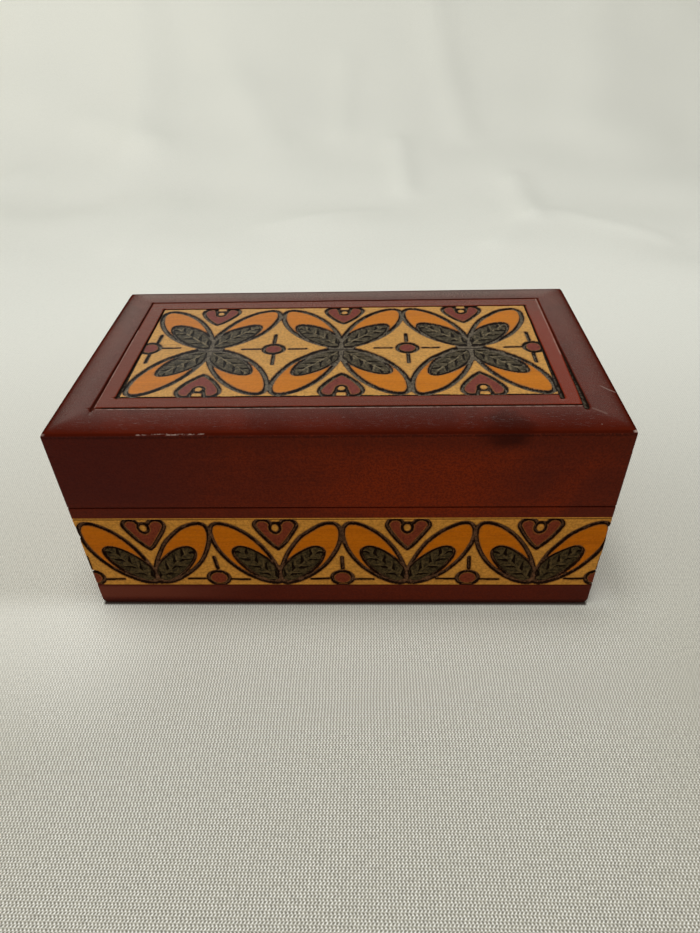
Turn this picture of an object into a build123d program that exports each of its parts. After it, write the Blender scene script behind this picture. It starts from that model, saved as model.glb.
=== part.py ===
from build123d import *
import math
import os

os.makedirs("parts", exist_ok=True)

# All sizes are millimetres. X runs along the box, Y from front to back, Z up.
# The origin is the middle of the underside, where the box rests on a table.

# Outside of the box
box_length = 150.0
box_width = 85.0
body_height = 40.0
lid_height = 26.0
split_gap = 0.3
corner_radius = 0.8
foot_easing = 0.6
rim_easing = 0.3

# Boards
wall_thickness = 7.0
bottom_thickness = 5.0
top_thickness = 8.0
corner_lip = 3.0
bottom_lip = 4.0

# Rolled border and carved lines of the lid's top
border_width = 10.65
border_drop = 1.4
frame_width = 5.15
frame_line_width = 0.9
frame_line_depth = 0.5
frame_line_bed = 0.3

# Plain bands of the body, set off from the carved frieze by scored lines
plinth_band = 8.6
rim_band = 3.9
scored_line_width = 0.5
scored_line_depth = 0.3

# Hinges, let into the rear edges
hinge_inset = 30.0
hinge_width = 20.0
hinge_leaf_depth = 5.2
leaf_thickness = 0.8
knuckle_radius = 1.5
knuckle_count = 5
knuckle_gap = 0.15
pin_radius = 0.6
pin_clearance = 0.05
pin_overhang = 0.3
pocket_clearance = 0.2
opening_angle = 105.0
bevel_margin = 0.1

# Screws, two in each hinge leaf
screw_spacing = 11.0
screw_length = 6.0
shank_radius = 0.6
head_radius = 1.25
head_depth = 0.6
screw_clearance = 0.04
slot_width = 0.3
slot_depth = 0.25
tip_length = 1.0
tip_radius = 0.15

# Places that follow from the sizes above
half_length = box_length / 2
half_width = box_width / 2
split_height = body_height
rim_height = split_height - split_gap / 2
lid_rim_height = split_height + split_gap / 2
box_height = body_height + lid_height
top_underside = box_height - top_thickness
hinge_centres = (hinge_inset - half_length, half_length - hinge_inset)
pin_y = half_width - knuckle_radius
bevel_run = knuckle_radius + bevel_margin
bevel_rise = bevel_run * math.tan(math.radians(opening_angle / 2))
screw_y = pin_y - (hinge_leaf_depth + knuckle_radius) / 2


def block(x_span, y_span, z_span):
    """A rectangular block given by its spans along the three axes."""
    spans = (x_span, y_span, z_span)
    centre = [(low + high) / 2 for low, high in spans]
    return Pos(*centre) * Box(*[high - low for low, high in spans])


def prism_along_x(points, x_span):
    """A straight bar whose section is a polygon of (y, z) points."""
    outline = Polyline([(x_span[0], y, z) for y, z in points], close=True)
    return extrude(make_face(outline), amount=x_span[1] - x_span[0], dir=(1, 0, 0))


def cylinder_along_x(x_span, y, z, radius):
    """A round bar that lies along X."""
    middle = (x_span[0] + x_span[1]) / 2
    return Pos(middle, y, z) * Rot(0, 90, 0) * Cylinder(radius, x_span[1] - x_span[0])


# Outlines that every board is trimmed to
def body_outline():
    """The body as one solid block, with rounded corners and eased edges."""
    whole = block((-half_length, half_length), (-half_width, half_width), (0, rim_height))
    rounded = fillet(whole.edges().filter_by(Axis.Z), corner_radius)
    eased = chamfer(rounded.faces().sort_by(Axis.Z)[0].edges(), foot_easing)
    return chamfer(eased.faces().sort_by(Axis.Z)[-1].edges(), rim_easing)


def roll_point(half_span, run):
    """A point (across, z) on the roll, at a distance run outward from where the flat top ends."""
    roll_radius = (border_width**2 + border_drop**2) / (2 * border_drop)
    drop = roll_radius - math.sqrt(roll_radius**2 - run**2)
    return (half_span - border_width + run, box_height - drop)


def rolled_section(half_span):
    """The section across the top: a flat that falls away in an arc on each side, past the arris."""
    flat = roll_point(half_span, 0)
    middle = roll_point(half_span, border_width / 2)
    end = roll_point(half_span, 1.5 * border_width)
    foot = (end[0], lid_rim_height)
    lines = [
        Line((-foot[0], foot[1]), foot),
        Line(foot, end),
        ThreePointArc(end, middle, flat),
        Line(flat, (-flat[0], flat[1])),
        ThreePointArc((-flat[0], flat[1]), (-middle[0], middle[1]), (-end[0], end[1])),
        Line((-end[0], end[1]), (-foot[0], foot[1])),
    ]
    return make_face(Curve() + lines)


def lid_outline():
    """The lid as one solid block: an upright block under two rolled tops that cross in mitres."""
    plan = RectangleRounded(box_length, box_width, corner_radius)
    column = Pos(0, 0, lid_rim_height) * extrude(plan, amount=lid_height)
    across = Plane(origin=(-box_length, 0, 0), x_dir=(0, 1, 0), z_dir=(1, 0, 0))
    along = Plane(origin=(0, box_width, 0), x_dir=(1, 0, 0), z_dir=(0, -1, 0))
    rolled_front_and_back = extrude(across * rolled_section(half_width), amount=2 * box_length)
    rolled_ends = extrude(along * rolled_section(half_length), amount=2 * box_width)
    whole = column & rolled_front_and_back & rolled_ends
    return chamfer(whole.faces().sort_by(Axis.Z)[0].edges(), rim_easing)


# Boards in their places, before they are trimmed to the outline
def front_board(z_span):
    """A long board whose ends are rabbeted, so that a thin lip covers each side board's end."""
    board = block((-half_length, half_length), (-half_width, wall_thickness - half_width), z_span)
    rabbet_y = (corner_lip - half_width, wall_thickness - half_width)
    inner = half_length - wall_thickness
    for x_span in ((-half_length, -inner), (inner, half_length)):
        board -= block(x_span, rabbet_y, z_span)
    return board


def side_board(z_span):
    """A short board that runs between the lips of the front and back boards."""
    reach = half_width - corner_lip
    return block((half_length - wall_thickness, half_length), (-reach, reach), z_span)


def four_walls(z_span):
    """The four boards of a frame, by side."""
    front = front_board(z_span)
    right = side_board(z_span)
    return {
        "front": front,
        "back": mirror(front, Plane.XZ),
        "right": right,
        "left": mirror(right, Plane.YZ),
    }


def bottom_board():
    """The bottom, let into a rabbet round the walls and flush with their undersides."""
    x_reach = half_length - bottom_lip
    y_reach = half_width - bottom_lip
    return block((-x_reach, x_reach), (-y_reach, y_reach), (0, bottom_thickness))


def scored_lines():
    """Two V lines round the body, above and below the frieze."""
    half = scored_line_width / 2
    bars = []
    for z in (plinth_band, split_height - rim_band):
        front = [
            (-half_width, z - half),
            (-half_width, z + half),
            (scored_line_depth - half_width, z),
        ]
        front_bar = prism_along_x(front, (-half_length, half_length))
        end = [
            (-half_length, z - half),
            (-half_length, z + half),
            (scored_line_depth - half_length, z),
        ]
        end_bar = Rot(0, 0, -90) * prism_along_x(end, (-half_width, half_width))
        bars += [front_bar, mirror(front_bar, Plane.XZ), end_bar, mirror(end_bar, Plane.YZ)]
    return bars


def tapered_block(low_reach, high_reach, z_span):
    """A block that is as wide as low_reach (x, y) at its foot and as high_reach at its top."""
    faces = [
        Pos(0, 0, z) * Rectangle(2 * reach[0], 2 * reach[1])
        for z, reach in zip(z_span, (low_reach, high_reach))
    ]
    return loft(faces, ruled=True)


def frame_line(inset):
    """A groove round the lid's top, with sloping walls and a narrow flat bed, inset from the edges."""
    x_reach = half_length - inset
    y_reach = half_width - inset
    bed = frame_line_bed / 2
    slope = (frame_line_width - frame_line_bed) / 2 / frame_line_depth
    z_span = (box_height - frame_line_depth, box_height + frame_line_depth)
    mouth = bed + slope * (z_span[1] - z_span[0])
    outer = tapered_block(
        (x_reach + bed, y_reach + bed),
        (x_reach + mouth, y_reach + mouth),
        z_span,
    )
    inner = tapered_block(
        (x_reach - bed, y_reach - bed),
        (x_reach - mouth, y_reach - mouth),
        z_span,
    )
    return outer - inner


# Hinges
def knuckle_spans(centre):
    """The spans along X of one hinge's knuckles, left to right."""
    pitch = hinge_width / knuckle_count
    start = centre - hinge_width / 2
    half_gap = knuckle_gap / 2
    return [
        (start + i * pitch + half_gap, start + (i + 1) * pitch - half_gap)
        for i in range(knuckle_count)
    ]


def leaf_span(side):
    """The leaf's span along Z: flush with its rim, side -1 for the body and 1 for the lid."""
    rim = split_height + side * split_gap / 2
    return sorted((rim, rim + side * leaf_thickness))


def screw_places(centre):
    """Where one leaf's screws stand along X."""
    return (centre - screw_spacing / 2, centre + screw_spacing / 2)


def screw(x, side):
    """A countersunk screw with a slotted head, its head flush with the leaf's face."""
    rim = split_height + side * split_gap / 2
    head_end = rim + side * head_depth
    shank_end = rim + side * (screw_length - tip_length)
    tip_end = rim + side * screw_length
    outline = Polyline(
        (0, 0, rim),
        (head_radius, 0, rim),
        (shank_radius, 0, head_end),
        (shank_radius, 0, shank_end),
        (tip_radius, 0, tip_end),
        (0, 0, tip_end),
        close=True,
    )
    body = revolve(make_face(outline), Axis.Z)
    slot_z = sorted((rim, rim + side * slot_depth))
    slot = block((-head_radius, head_radius), (-slot_width / 2, slot_width / 2), slot_z)
    return Pos(x, screw_y, 0) * (body - slot)


def screw_hole(x, side):
    """The room that a screw takes in its leaf and in the wood, with a small clearance."""
    rim = split_height + side * split_gap / 2
    outline = Polyline(
        (0, 0, rim),
        (head_radius + screw_clearance, 0, rim),
        (shank_radius + screw_clearance, 0, rim + side * head_depth),
        (shank_radius + screw_clearance, 0, rim + side * (screw_length + screw_clearance)),
        (0, 0, rim + side * (screw_length + screw_clearance)),
        close=True,
    )
    return Pos(x, screw_y, 0) * revolve(make_face(outline), Axis.Z)


def hinge_leaf(centre, side):
    """One brass leaf with its share of the knuckles: the body's leaf has the outer ones."""
    first = 0 if side < 0 else 1
    own = knuckle_spans(centre)[first::2]
    others = knuckle_spans(centre)[1 - first :: 2]
    half = hinge_width / 2
    span = (centre - half + knuckle_gap / 2, centre + half - knuckle_gap / 2)
    leaf = block(span, (pin_y - hinge_leaf_depth, pin_y), leaf_span(side))
    for x_span in others:
        room = (x_span[0] - knuckle_gap, x_span[1] + knuckle_gap)
        leaf -= cylinder_along_x(room, pin_y, split_height, knuckle_radius + pocket_clearance)
    for x_span in own:
        leaf += cylinder_along_x(x_span, pin_y, split_height, knuckle_radius)
    leaf -= cylinder_along_x(span, pin_y, split_height, pin_radius + pin_clearance)
    for x in screw_places(centre):
        leaf -= screw_hole(x, side)
    return leaf


def hinge_pin(centre):
    """The straight wire that both leaves turn on."""
    reach = hinge_width / 2 + pin_overhang
    return cylinder_along_x((centre - reach, centre + reach), pin_y, split_height, pin_radius)


def hinge_mortise(centre, side):
    """The room cut in a rear edge for one hinge: the leaf's seat, the barrel's pocket, the screw holes."""
    reach = hinge_width / 2 + pin_overhang + pocket_clearance
    span = (centre - reach, centre + reach)
    leaf_room = (centre - hinge_width / 2, centre + hinge_width / 2)
    seat = block(leaf_room, (pin_y - hinge_leaf_depth, pin_y), leaf_span(side))
    pocket = cylinder_along_x(span, pin_y, split_height, knuckle_radius + pocket_clearance)
    return [seat, pocket] + [screw_hole(x, side) for x in screw_places(centre)]


def rear_bevel(side):
    """The long bevel on a rear edge; the two bevels make the V that the lid folds back into."""
    rim = split_height + side * split_gap / 2
    points = [
        (half_width - bevel_run, rim),
        (half_width, rim),
        (half_width, rim + side * bevel_rise),
    ]
    return prism_along_x(points, (-half_length, half_length))


# The finished pieces
def body_walls():
    """The four walls of the body, rabbeted for the bottom, scored, and cut for the hinges."""
    outline = body_outline()
    for bar in scored_lines():
        outline -= bar
    rabbet = bottom_board()
    walls = {side: (board & outline) - rabbet for side, board in four_walls((0, rim_height)).items()}
    walls["back"] -= rear_bevel(-1)
    for centre in hinge_centres:
        for cut in hinge_mortise(centre, -1):
            walls["back"] -= cut
    return {f"body_{side}_wall": wall for side, wall in walls.items()}


def lid_walls(outline):
    """The four walls of the lid, cut for the hinges."""
    boards = four_walls((lid_rim_height, top_underside))
    walls = {side: board & outline for side, board in boards.items()}
    walls["back"] -= rear_bevel(1)
    for centre in hinge_centres:
        for cut in hinge_mortise(centre, 1):
            walls["back"] -= cut
    return {f"lid_{side}_wall": wall for side, wall in walls.items()}


def lid_top_board(outline):
    """The top board with its rolled border and the two grooves of its frame."""
    spans = ((-half_length, half_length), (-half_width, half_width))
    board = block(*spans, (top_underside, box_height)) & outline
    for inset in (border_width, border_width + frame_width):
        board -= frame_line(inset)
    return board


def hinges():
    """Both hinges, each of two leaves and a pin."""
    pieces = {}
    for name, centre in zip(("left", "right"), hinge_centres):
        pieces[f"hinge_{name}_body_leaf"] = hinge_leaf(centre, -1)
        pieces[f"hinge_{name}_lid_leaf"] = hinge_leaf(centre, 1)
        pieces[f"hinge_{name}_pin"] = hinge_pin(centre)
    return pieces


def screws():
    """The screws of both hinges, grouped by what they are driven into."""
    places = [x for centre in hinge_centres for x in screw_places(centre)]
    return {
        "hinge_screws_body": Compound(children=[screw(x, -1) for x in places]),
        "hinge_screws_lid": Compound(children=[screw(x, 1) for x in places]),
    }


lid_block = lid_outline()
nodes = {
    "bottom_board": bottom_board(),
    "lid_top_board": lid_top_board(lid_block),
    **body_walls(),
    **lid_walls(lid_block),
    **hinges(),
    **screws(),
}
for name, shape in nodes.items():
    export_step(shape, f"parts/{name}.step")
    print(name, len(shape.solids()), round(shape.volume, 1))
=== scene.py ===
"""The looks of a carved wooden trinket box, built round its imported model.

The carved boards are height fields: grids whose points sink below the board's face by a depth that follows
from the distance to the motifs' outlines. The paint reads the same distances from attributes of the mesh.
Lengths in the shape functions are millimetres, and a mesh is scaled to metres when it is made.
"""

import math

import bpy
import numpy as np
from mathutils import Matrix, Vector


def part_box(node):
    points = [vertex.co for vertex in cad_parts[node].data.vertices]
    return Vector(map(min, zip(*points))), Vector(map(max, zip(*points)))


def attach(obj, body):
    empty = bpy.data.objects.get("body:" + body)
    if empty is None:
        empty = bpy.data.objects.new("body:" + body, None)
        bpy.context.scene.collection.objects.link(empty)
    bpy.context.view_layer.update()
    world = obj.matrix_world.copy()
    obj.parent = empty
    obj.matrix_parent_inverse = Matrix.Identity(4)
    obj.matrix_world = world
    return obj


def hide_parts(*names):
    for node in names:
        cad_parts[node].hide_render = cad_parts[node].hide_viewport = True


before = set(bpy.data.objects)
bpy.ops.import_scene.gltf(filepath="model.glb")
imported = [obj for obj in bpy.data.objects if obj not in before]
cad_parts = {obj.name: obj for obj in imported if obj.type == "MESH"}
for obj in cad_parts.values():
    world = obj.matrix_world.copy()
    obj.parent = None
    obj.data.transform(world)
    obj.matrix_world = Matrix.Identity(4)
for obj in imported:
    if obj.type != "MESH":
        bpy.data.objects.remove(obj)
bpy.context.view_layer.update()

bl_info = {
    "name": "Carved trinket box",
    "version": (1, 0, 0),
    "blender": (4, 5, 0),
    "location": "View3D > Sidebar > Trinket box",
    "description": "Builds the carved boards and the finishes of a wooden trinket box",
    "category": "Object",
}

MM = 0.001


def edges(node):
    """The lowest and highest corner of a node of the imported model, in millimetres."""
    low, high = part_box(node)
    return np.array(low) / MM, np.array(high) / MM


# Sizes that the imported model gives
top_low, top_high = edges("lid_top_board")
front_low, front_high = edges("body_front_wall")
_, right_high = edges("body_right_wall")
_, floor_high = edges("bottom_board")
half_length, half_width, box_top = top_high
top_underside = top_low[2]
body_rim = front_high[2]
wall = front_high[1] - front_low[1]
lip_reach = right_high[1]
perimeter = 4 * (half_length + half_width)

# The lid's rolled border and its frame of two lines
CORNER_RADIUS = 0.8
ARRIS_RADIUS = 0.7
BORDER_WIDTH = 10.65
BORDER_DROP = 1.4
FRAME_WIDTH = 5.15
FRAME_LINE_DEPTH = 0.45
FRAME_LINE_WALL = 0.25
FRAME_STRAY = 0.02
frame_inset = BORDER_WIDTH
panel_inset = BORDER_WIDTH + FRAME_WIDTH
frame_x, frame_y = half_length - frame_inset, half_width - frame_inset
panel_x, panel_y = half_length - panel_inset, half_width - panel_inset

# The gouged lines of the frame: how far each end overruns its corner along the line, and the half widths
# at the two ends, from left to right or from back to front, where the gouge ran deeper towards the end,
# by the square of the way along
OUTER_LINES = {
    "front": ((0.5, 0.6), (0.34, 0.32)),
    "back": ((0.2, 0.2), (0.28, 0.28)),
    "left": ((0.2, 0.7), (0.24, 0.48)),
    "right": ((0.2, 1.3), (0.18, 0.8)),
}
INNER_LINES = {
    "front": ((0.6, 0.2), (0.34, 0.3)),
    "back": ((0.3, 0.3), (0.3, 0.3)),
    "left": ((0.3, 0.1), (0.34, 0.62)),
    "right": ((0.2, 1.7), (0.3, 0.72)),
}

# The body's plain bands, the upper one reaching to the middle of the seam below the lid, its scored lines
# and its eased edges
PLINTH_BAND = 8.6
RIM_BAND = 4.35
HALF_SEAM = 0.15
SCORED_LINE_WIDTH = 0.5
SCORED_LINE_DEPTH = 0.3
FOOT_EASING = 0.7
FOOT_RISE = 2.2
FOOT_SPREAD = 1.9
RIM_EASING = 0.3
BEVEL_RUN = 1.6
BEVEL_RISE = 2.085
frieze_foot = PLINTH_BAND
frieze_head = body_rim + HALF_SEAM - RIM_BAND

# Petals and leaves: half widths on the side towards the pattern's middle line or foot, and on the other
PETAL_NEAR = 6.65
PETAL_FAR = 5.35
PETAL_SKEW = 1.3
LEAF_HALF_WIDTH = 3.9
WALL_GROOVE_SHARE = 0.88
LEAF_GROOVE_SHARE = 0.72
BLUNTNESS = 0.5
WALL_LEAF_BLUNTNESS = 0.4

# The flowers of the lid, carved freehand, so that each tip has its own place: its distances from the
# flower's middle, for the upper left, upper right, lower left and lower right petal and leaf. The hearts
# give how far the upper and the lower heart stand from the middle.
FLOWERS = (
    {
        "middle": -38.9,
        "petals": ((-18.0, 24.3), (17.5, 24.4), (-18.0, -25.3), (18.2, -25.0)),
        "leaves": ((-13.9, 14.4), (13.1, 14.3), (-12.3, -15.2), (13.6, -14.9)),
        "hearts": (-0.6, 0.9),
    },
    {
        "middle": 0.3,
        "petals": ((-17.9, 24.4), (17.4, 24.6), (-17.5, -25.3), (18.0, -25.3)),
        "leaves": ((-13.8, 14.2), (13.8, 14.1), (-12.9, -15.3), (14.0, -14.9)),
        "hearts": (0.4, 0.7),
    },
    {
        "middle": 38.5,
        "petals": ((-17.8, 24.7), (17.3, 23.8), (-16.8, -25.7), (18.8, -25.3)),
        "leaves": ((-14.3, 14.4), (12.5, 14.2), (-12.5, -15.9), (14.1, -14.8)),
        "hearts": (-0.2, 0.9),
    },
)
UPPER_FOOT = 0.9
LOWER_FOOT = -1.4
PINCH_MIDDLE = -0.3
PINCH_REACH = 3.2
PINCH_HALF_WIDTH = 1.05

# The dots between the flowers and at the panel's ends: middle, half widths, the dashes beside it from end to
# end, and the bars behind and in front of it as (x, near y, far y)
DOTS = (
    {
        "middle": (-57.2, 0.4),
        "halves": (3.0, 3.0),
        "dashes": ((-53.7, -48.2),),
        "bars": ((-55.6, 4.0, 8.6), (-56.5, -3.4, -8.2)),
    },
    {
        "middle": (-19.8, -0.8),
        "halves": (3.0, 2.8),
        "dashes": ((-23.9, -29.2), (-15.2, -10.0)),
        "bars": ((-20.1, 3.0, 8.0), (-19.4, -4.2, -9.6)),
    },
    {
        "middle": (19.9, -0.8),
        "halves": (3.0, 2.8),
        "dashes": ((15.2, 10.3), (24.4, 29.2)),
        "bars": ((19.8, 3.3, 7.8), (20.0, -4.5, -9.3)),
    },
    {
        "middle": (56.9, -1.0),
        "halves": (2.7, 3.0),
        "dashes": ((53.4, 48.4),),
        "bars": ((56.4, 3.0, 8.0), (56.2, -4.8, -9.7)),
    },
)

# The lid's hearts
HEART_TIP = 15.3
HEART_HALF_WIDTH = 5.9
HEART_SHOULDER = 8.7
HEART_LOBE = 2.6
HEART_NOTCH = 9.4
HEART_BULGE = 0.75
HEART_EYE = 22.9
EYE_RADIUS = 1.1
EYE_LINE_RADIUS = 1.45
EYE_LINE_HALF_WIDTH = 0.42
EYE_CLEARANCE = 0.3
EYE_OVERRUN = 1.0

# What joins a lid heart's eye to the panel's edge, from the eye's middle: a bare patch, a dash and two legs
EYE_PATCH_HALF_WIDTH = 1.1
EYE_PATCH_START = 2.2
EYE_DASH = (1.2, 1.75)
EYE_DASH_HALF_WIDTH = 0.3
LEG_START = (1.5, 0.5)
LEG_SPREAD = 2.3
LEG_HALF_WIDTHS = (0.42, 0.5)

# The tulips of the body's frieze, their hearts and the dots between them
TULIP_FOOT = 10.1
TULIP_STRAY = 0.6
TULIP_PETAL = (17.2, 23.8)
TULIP_LEAF = (12.6, 14.3)
TULIP_FOOT_CUT = {"reach": 1.2, "rise": 0.2, "half_width": 0.8}
TULIP_HEART_TIP = 24.1
TULIP_HEART_SHOULDER = 9.3
TULIP_HEART_LOBE = 2.3
TULIP_HEART_NOTCH = 10.2
TULIP_HEART_BULGE = 0.89
TULIP_EYE = 32.5
TULIP_EYE_HEIGHT = 1.3
TULIP_EYE_SHIFT = -0.2
TULIP_DOT_HEIGHT = 11.85
TULIP_DOT_HALF_WIDTHS = (3.1, 2.9)
TULIP_DOT_REACH = 11
TULIP_DASH = {"ends": (3.4, 9.2), "drop": 0.5, "tilt": 0.1}
TULIP_BAR = {"rises": (8.8, 4.2), "half_widths": (0.55, 0.6)}

# How far the hand strayed on a wall, tulip by tulip: its heart, its left and its right leaf's tip; and dot by
# dot: the dot, and the upper and lower end of the bar above it
TULIP_STRAYS = ((0.5, 0.0, 0.0), (0.3, 0.5, 0.2), (-0.1, 0.1, 0.0), (-0.9, 0.0, -0.9))
DOT_STRAYS = ((0.2, 0.0, 0.0), (0.7, -0.2, 0.15), (0.3, 0.1, 0.2), (-0.1, -0.2, 0.05))
TULIPS_ON_LONG_WALL = 4
TULIPS_ON_END_WALL = 2

# Dashes and bars, and how far a line strays from its place
DASH_HALF_WIDTH = 0.46
DASH_DEPTH_REACH = 0.22
BAR_HALF_WIDTH = 0.55
STRAY = 0.035

# How far round a motif distances are worked out, and the distance that stands for all beyond
REACH = 3.0
BIG = 4.0


# Properties that a user would change
def length_property(name, description, value):
    """A length that a user can change, given in millimetres."""
    return bpy.props.FloatProperty(
        name=name, description=description, default=value * MM, subtype="DISTANCE", unit="LENGTH", precision=5
    )


def colour_property(name, description, value):
    """A linear colour that a user can change."""
    return bpy.props.FloatVectorProperty(
        name=name, description=description, default=value, size=3, subtype="COLOR", min=0, max=1
    )


class CarvingSizes(bpy.types.PropertyGroup):
    """Widths and depths of the carving, and the fineness of its grids."""

    groove_width: length_property("Groove width", "Width of the burnt grooves round petals and leaves", 1.5)
    heart_groove_width: length_property("Heart groove width", "Width round hearts and dots", 1.2)
    groove_depth: length_property("Groove depth", "Depth of the grooves below the board's face", 0.75)
    leaf_depth: length_property("Leaf depth", "How far the leaves are sunk below the board's face", 0.3)
    lid_cell: length_property("Lid grid", "Spacing of the grid on the lid's carved panel", 0.37)
    wall_cell: length_property("Wall grid", "Spacing of the grid on the carved frieze", 0.26)


class FinishColours(bpy.types.PropertyGroup):
    """Colours of the stains, paints and metals."""

    ground: colour_property("Ground", "Varnished bare wood between the motifs", (0.445, 0.227, 0.053))
    orange: colour_property("Orange", "Stain on the petals", (0.425, 0.130, 0.0045))
    leaf: colour_property("Leaf", "Paint on the leaves", (0.055, 0.0435, 0.0258))
    red: colour_property("Red", "Paint on hearts and dots", (0.168, 0.038, 0.027))
    stain: colour_property("Stain", "Stain where it is thinnest", (0.108, 0.0135, 0.0040))
    dark_stain: colour_property("Dark stain", "Stain where it is thickest", (0.064, 0.0105, 0.0060))
    border: colour_property("Border", "Stain on the lid's rolled border", (0.071, 0.0078, 0.0027))
    frame_stain: colour_property("Frame", "Stain between the two lines of the lid", (0.128, 0.0165, 0.0048))
    scorch: colour_property("Scorch", "Burnt floor of the grooves", (0.135, 0.110, 0.078))
    char: colour_property("Char", "Burnt walls of the grooves", (0.011, 0.006, 0.004))
    bare: colour_property("Bare wood", "Unfinished wood inside", (0.56, 0.36, 0.19))
    brass: colour_property("Brass", "Hinges and screws", (0.62, 0.43, 0.17))


class StudioSettings(bpy.types.PropertyGroup):
    """The floor and the light."""

    # The cloth behind is paler than in front: painted light, brighter where more light falls
    near_cloth: colour_property("Cloth in front", "Cloth in front of the box", (0.69, 0.66, 0.545))
    far_cloth: colour_property("Cloth behind", "Cloth behind the box", (0.90, 0.91, 0.84))
    key_power: bpy.props.FloatProperty(
        name="Key light", description="Power of the large light above", default=6.6, unit="POWER"
    )
    sky: bpy.props.FloatProperty(
        name="Sky", description="Brightness of the light from all round", default=1.0, min=0
    )


# Outlines of the motifs, as closed rows of points
def petal(foot, tip, near, far, skew=1.0, bluntness=BLUNTNESS, count=44):
    """A petal or leaf round an axis from its foot to its tip.

    At the share u of the axis the half width is w sin(pi u) ** bluntness, with w = near on the side that
    faces down from an axis that runs outwards, and on the other side w = far and u raised to the skew,
    which moves the fullest place towards the tip.
    """
    foot, tip = np.array(foot, float), np.array(tip, float)
    u = (1 - np.cos(np.pi * np.linspace(0, 1, count))) / 2
    axis = tip - foot
    side = np.array([axis[1], -axis[0]]) / np.hypot(*axis)
    if side[0] * axis[0] < 0:
        side = -side
    line = foot + u[:, None] * axis
    low = line + side * (near * np.sin(np.pi * u) ** bluntness)[:, None]
    high = line - side * (far * np.sin(np.pi * u**skew) ** bluntness)[:, None]
    return np.concatenate([low, high[-2:0:-1]])


def heart(middle, tip, up, shoulder, lobe, notch, bulge, count=14):
    """A heart whose tip lies at tip and whose lobes lie towards up, which is 1 or -1.

    Each half is an arc of radius lobe round the top of the half, then a side that falls from the shoulder
    to the blunt tip along a quadratic curve, fuller the smaller its bulge is.
    """
    t = np.linspace(0, 1, count)
    fall = shoulder * (1 - t) ** 2 + 2 * bulge * shoulder * t * (1 - t)
    side = np.stack([HEART_HALF_WIDTH * (1 - t**2) ** 0.82, fall], 1)
    turn = np.radians(np.linspace(160, 0, count))
    arc = np.stack([HEART_HALF_WIDTH - lobe + lobe * np.cos(turn), shoulder + lobe * np.sin(turn)], 1)
    half = np.concatenate([[[0.0, notch]], arc[:-1], side])
    right = half * [1, up] + [middle, tip]
    left = half * [-1, up] + [middle, tip]
    return np.concatenate([right, left[-2:0:-1]])


def oval(middle, half_widths, count=36):
    """An ellipse round a middle."""
    turn = np.linspace(0, 2 * np.pi, count, endpoint=False)
    return np.array(middle) + np.stack([np.cos(turn), np.sin(turn)], 1) * half_widths


def petal_motif(foot, tip, leaf_tip, share=1.0, bluntness=BLUNTNESS):
    """A petal with its leaf and the leaf's axis, and its grooves' share of the full width."""
    return {
        "kind": "petal",
        "share": share,
        "outline": petal(foot, tip, PETAL_NEAR, PETAL_FAR, PETAL_SKEW),
        "leaf": petal(foot, leaf_tip, LEAF_HALF_WIDTH, LEAF_HALF_WIDTH, 1.0, bluntness),
        "axis": (np.array(foot), np.array(leaf_tip)),
    }


def line_motif(start, end, wide, narrow, floor=-BIG):
    """A gouged line that narrows from its start to its end, and goes no deeper than at its floor, a signed
    distance."""
    return {"kind": "line", "ends": (start, end), "halves": (wide, narrow), "floor": floor}


def dash_motif(start, end):
    """A narrow cut, black all over."""
    return line_motif(start, end, DASH_HALF_WIDTH, 0.85 * DASH_HALF_WIDTH, -DASH_DEPTH_REACH)


def lid_pattern():
    """The motifs of the lid's panel: flowers, hearts and dots, each with its own kind of line."""
    motifs = []
    for flower in FLOWERS:
        middle = flower["middle"]
        for petal_tip, leaf_tip in zip(flower["petals"], flower["leaves"]):
            foot = np.array([middle, UPPER_FOOT if petal_tip[1] > 0 else LOWER_FOOT])
            ends = [np.array([middle, 0]) + tip for tip in (petal_tip, leaf_tip)]
            motifs.append(petal_motif(foot, *ends))
        for side in (-1, 1):
            ends = (middle, PINCH_MIDDLE), (middle + side * PINCH_REACH, PINCH_MIDDLE)
            motifs.append(line_motif(*ends, PINCH_HALF_WIDTH, 0.8 * PINCH_HALF_WIDTH))
        for up, stray in zip((1, -1), flower["hearts"]):
            x = middle + stray
            outline = heart(x, up * HEART_TIP, up, HEART_SHOULDER, HEART_LOBE, HEART_NOTCH, HEART_BULGE)
            eye = {"eye": (x, up * HEART_EYE), "eye_height": 1.0, "edge": up * panel_y}
            motifs.append({"kind": "heart", "outline": outline, **eye})
    for dot in DOTS:
        motifs.append({"kind": "dot", "outline": oval(dot["middle"], dot["halves"])})
        level = dot["middle"][1]
        for near, far in dot["dashes"]:
            motifs.append(dash_motif((near, level), (far, level)))
        for x, near, far in dot["bars"]:
            motifs.append(line_motif((x, near), (x, far), BAR_HALF_WIDTH, BAR_HALF_WIDTH))
    return motifs


def frieze_pattern(low, high):
    """The motifs of the frieze that touch the stretch from low to high along the body's outline.

    The walls' middles lie at known places along the outline. On each wall the tulips stand side by side
    with a dot between each two and at the corners.
    """
    walls = (
        (0.0, 2 * half_length, TULIPS_ON_LONG_WALL),
        (half_length + half_width, 2 * half_width, TULIPS_ON_END_WALL),
        (2 * (half_length + half_width), 2 * half_length, TULIPS_ON_LONG_WALL),
        (3 * (half_length + half_width), 2 * half_width, TULIPS_ON_END_WALL),
    )
    motifs = []
    for lap in (-perimeter, 0, perimeter):
        for middle, length, count in walls:
            pitch = length / count
            widening = pitch / (2 * half_length / TULIPS_ON_LONG_WALL)
            for i in range(count):
                corner = lap + middle - length / 2 + i * pitch
                centre = corner + pitch / 2 + TULIP_STRAY
                if high > centre - pitch and low < centre + pitch:
                    motifs += tulip(centre, widening, TULIP_STRAYS[i])
                if high > corner - TULIP_DOT_REACH and low < corner + TULIP_DOT_REACH:
                    motifs += tulip_dot(corner + DOT_STRAYS[i][0], DOT_STRAYS[i][1:])
    return motifs


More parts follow.
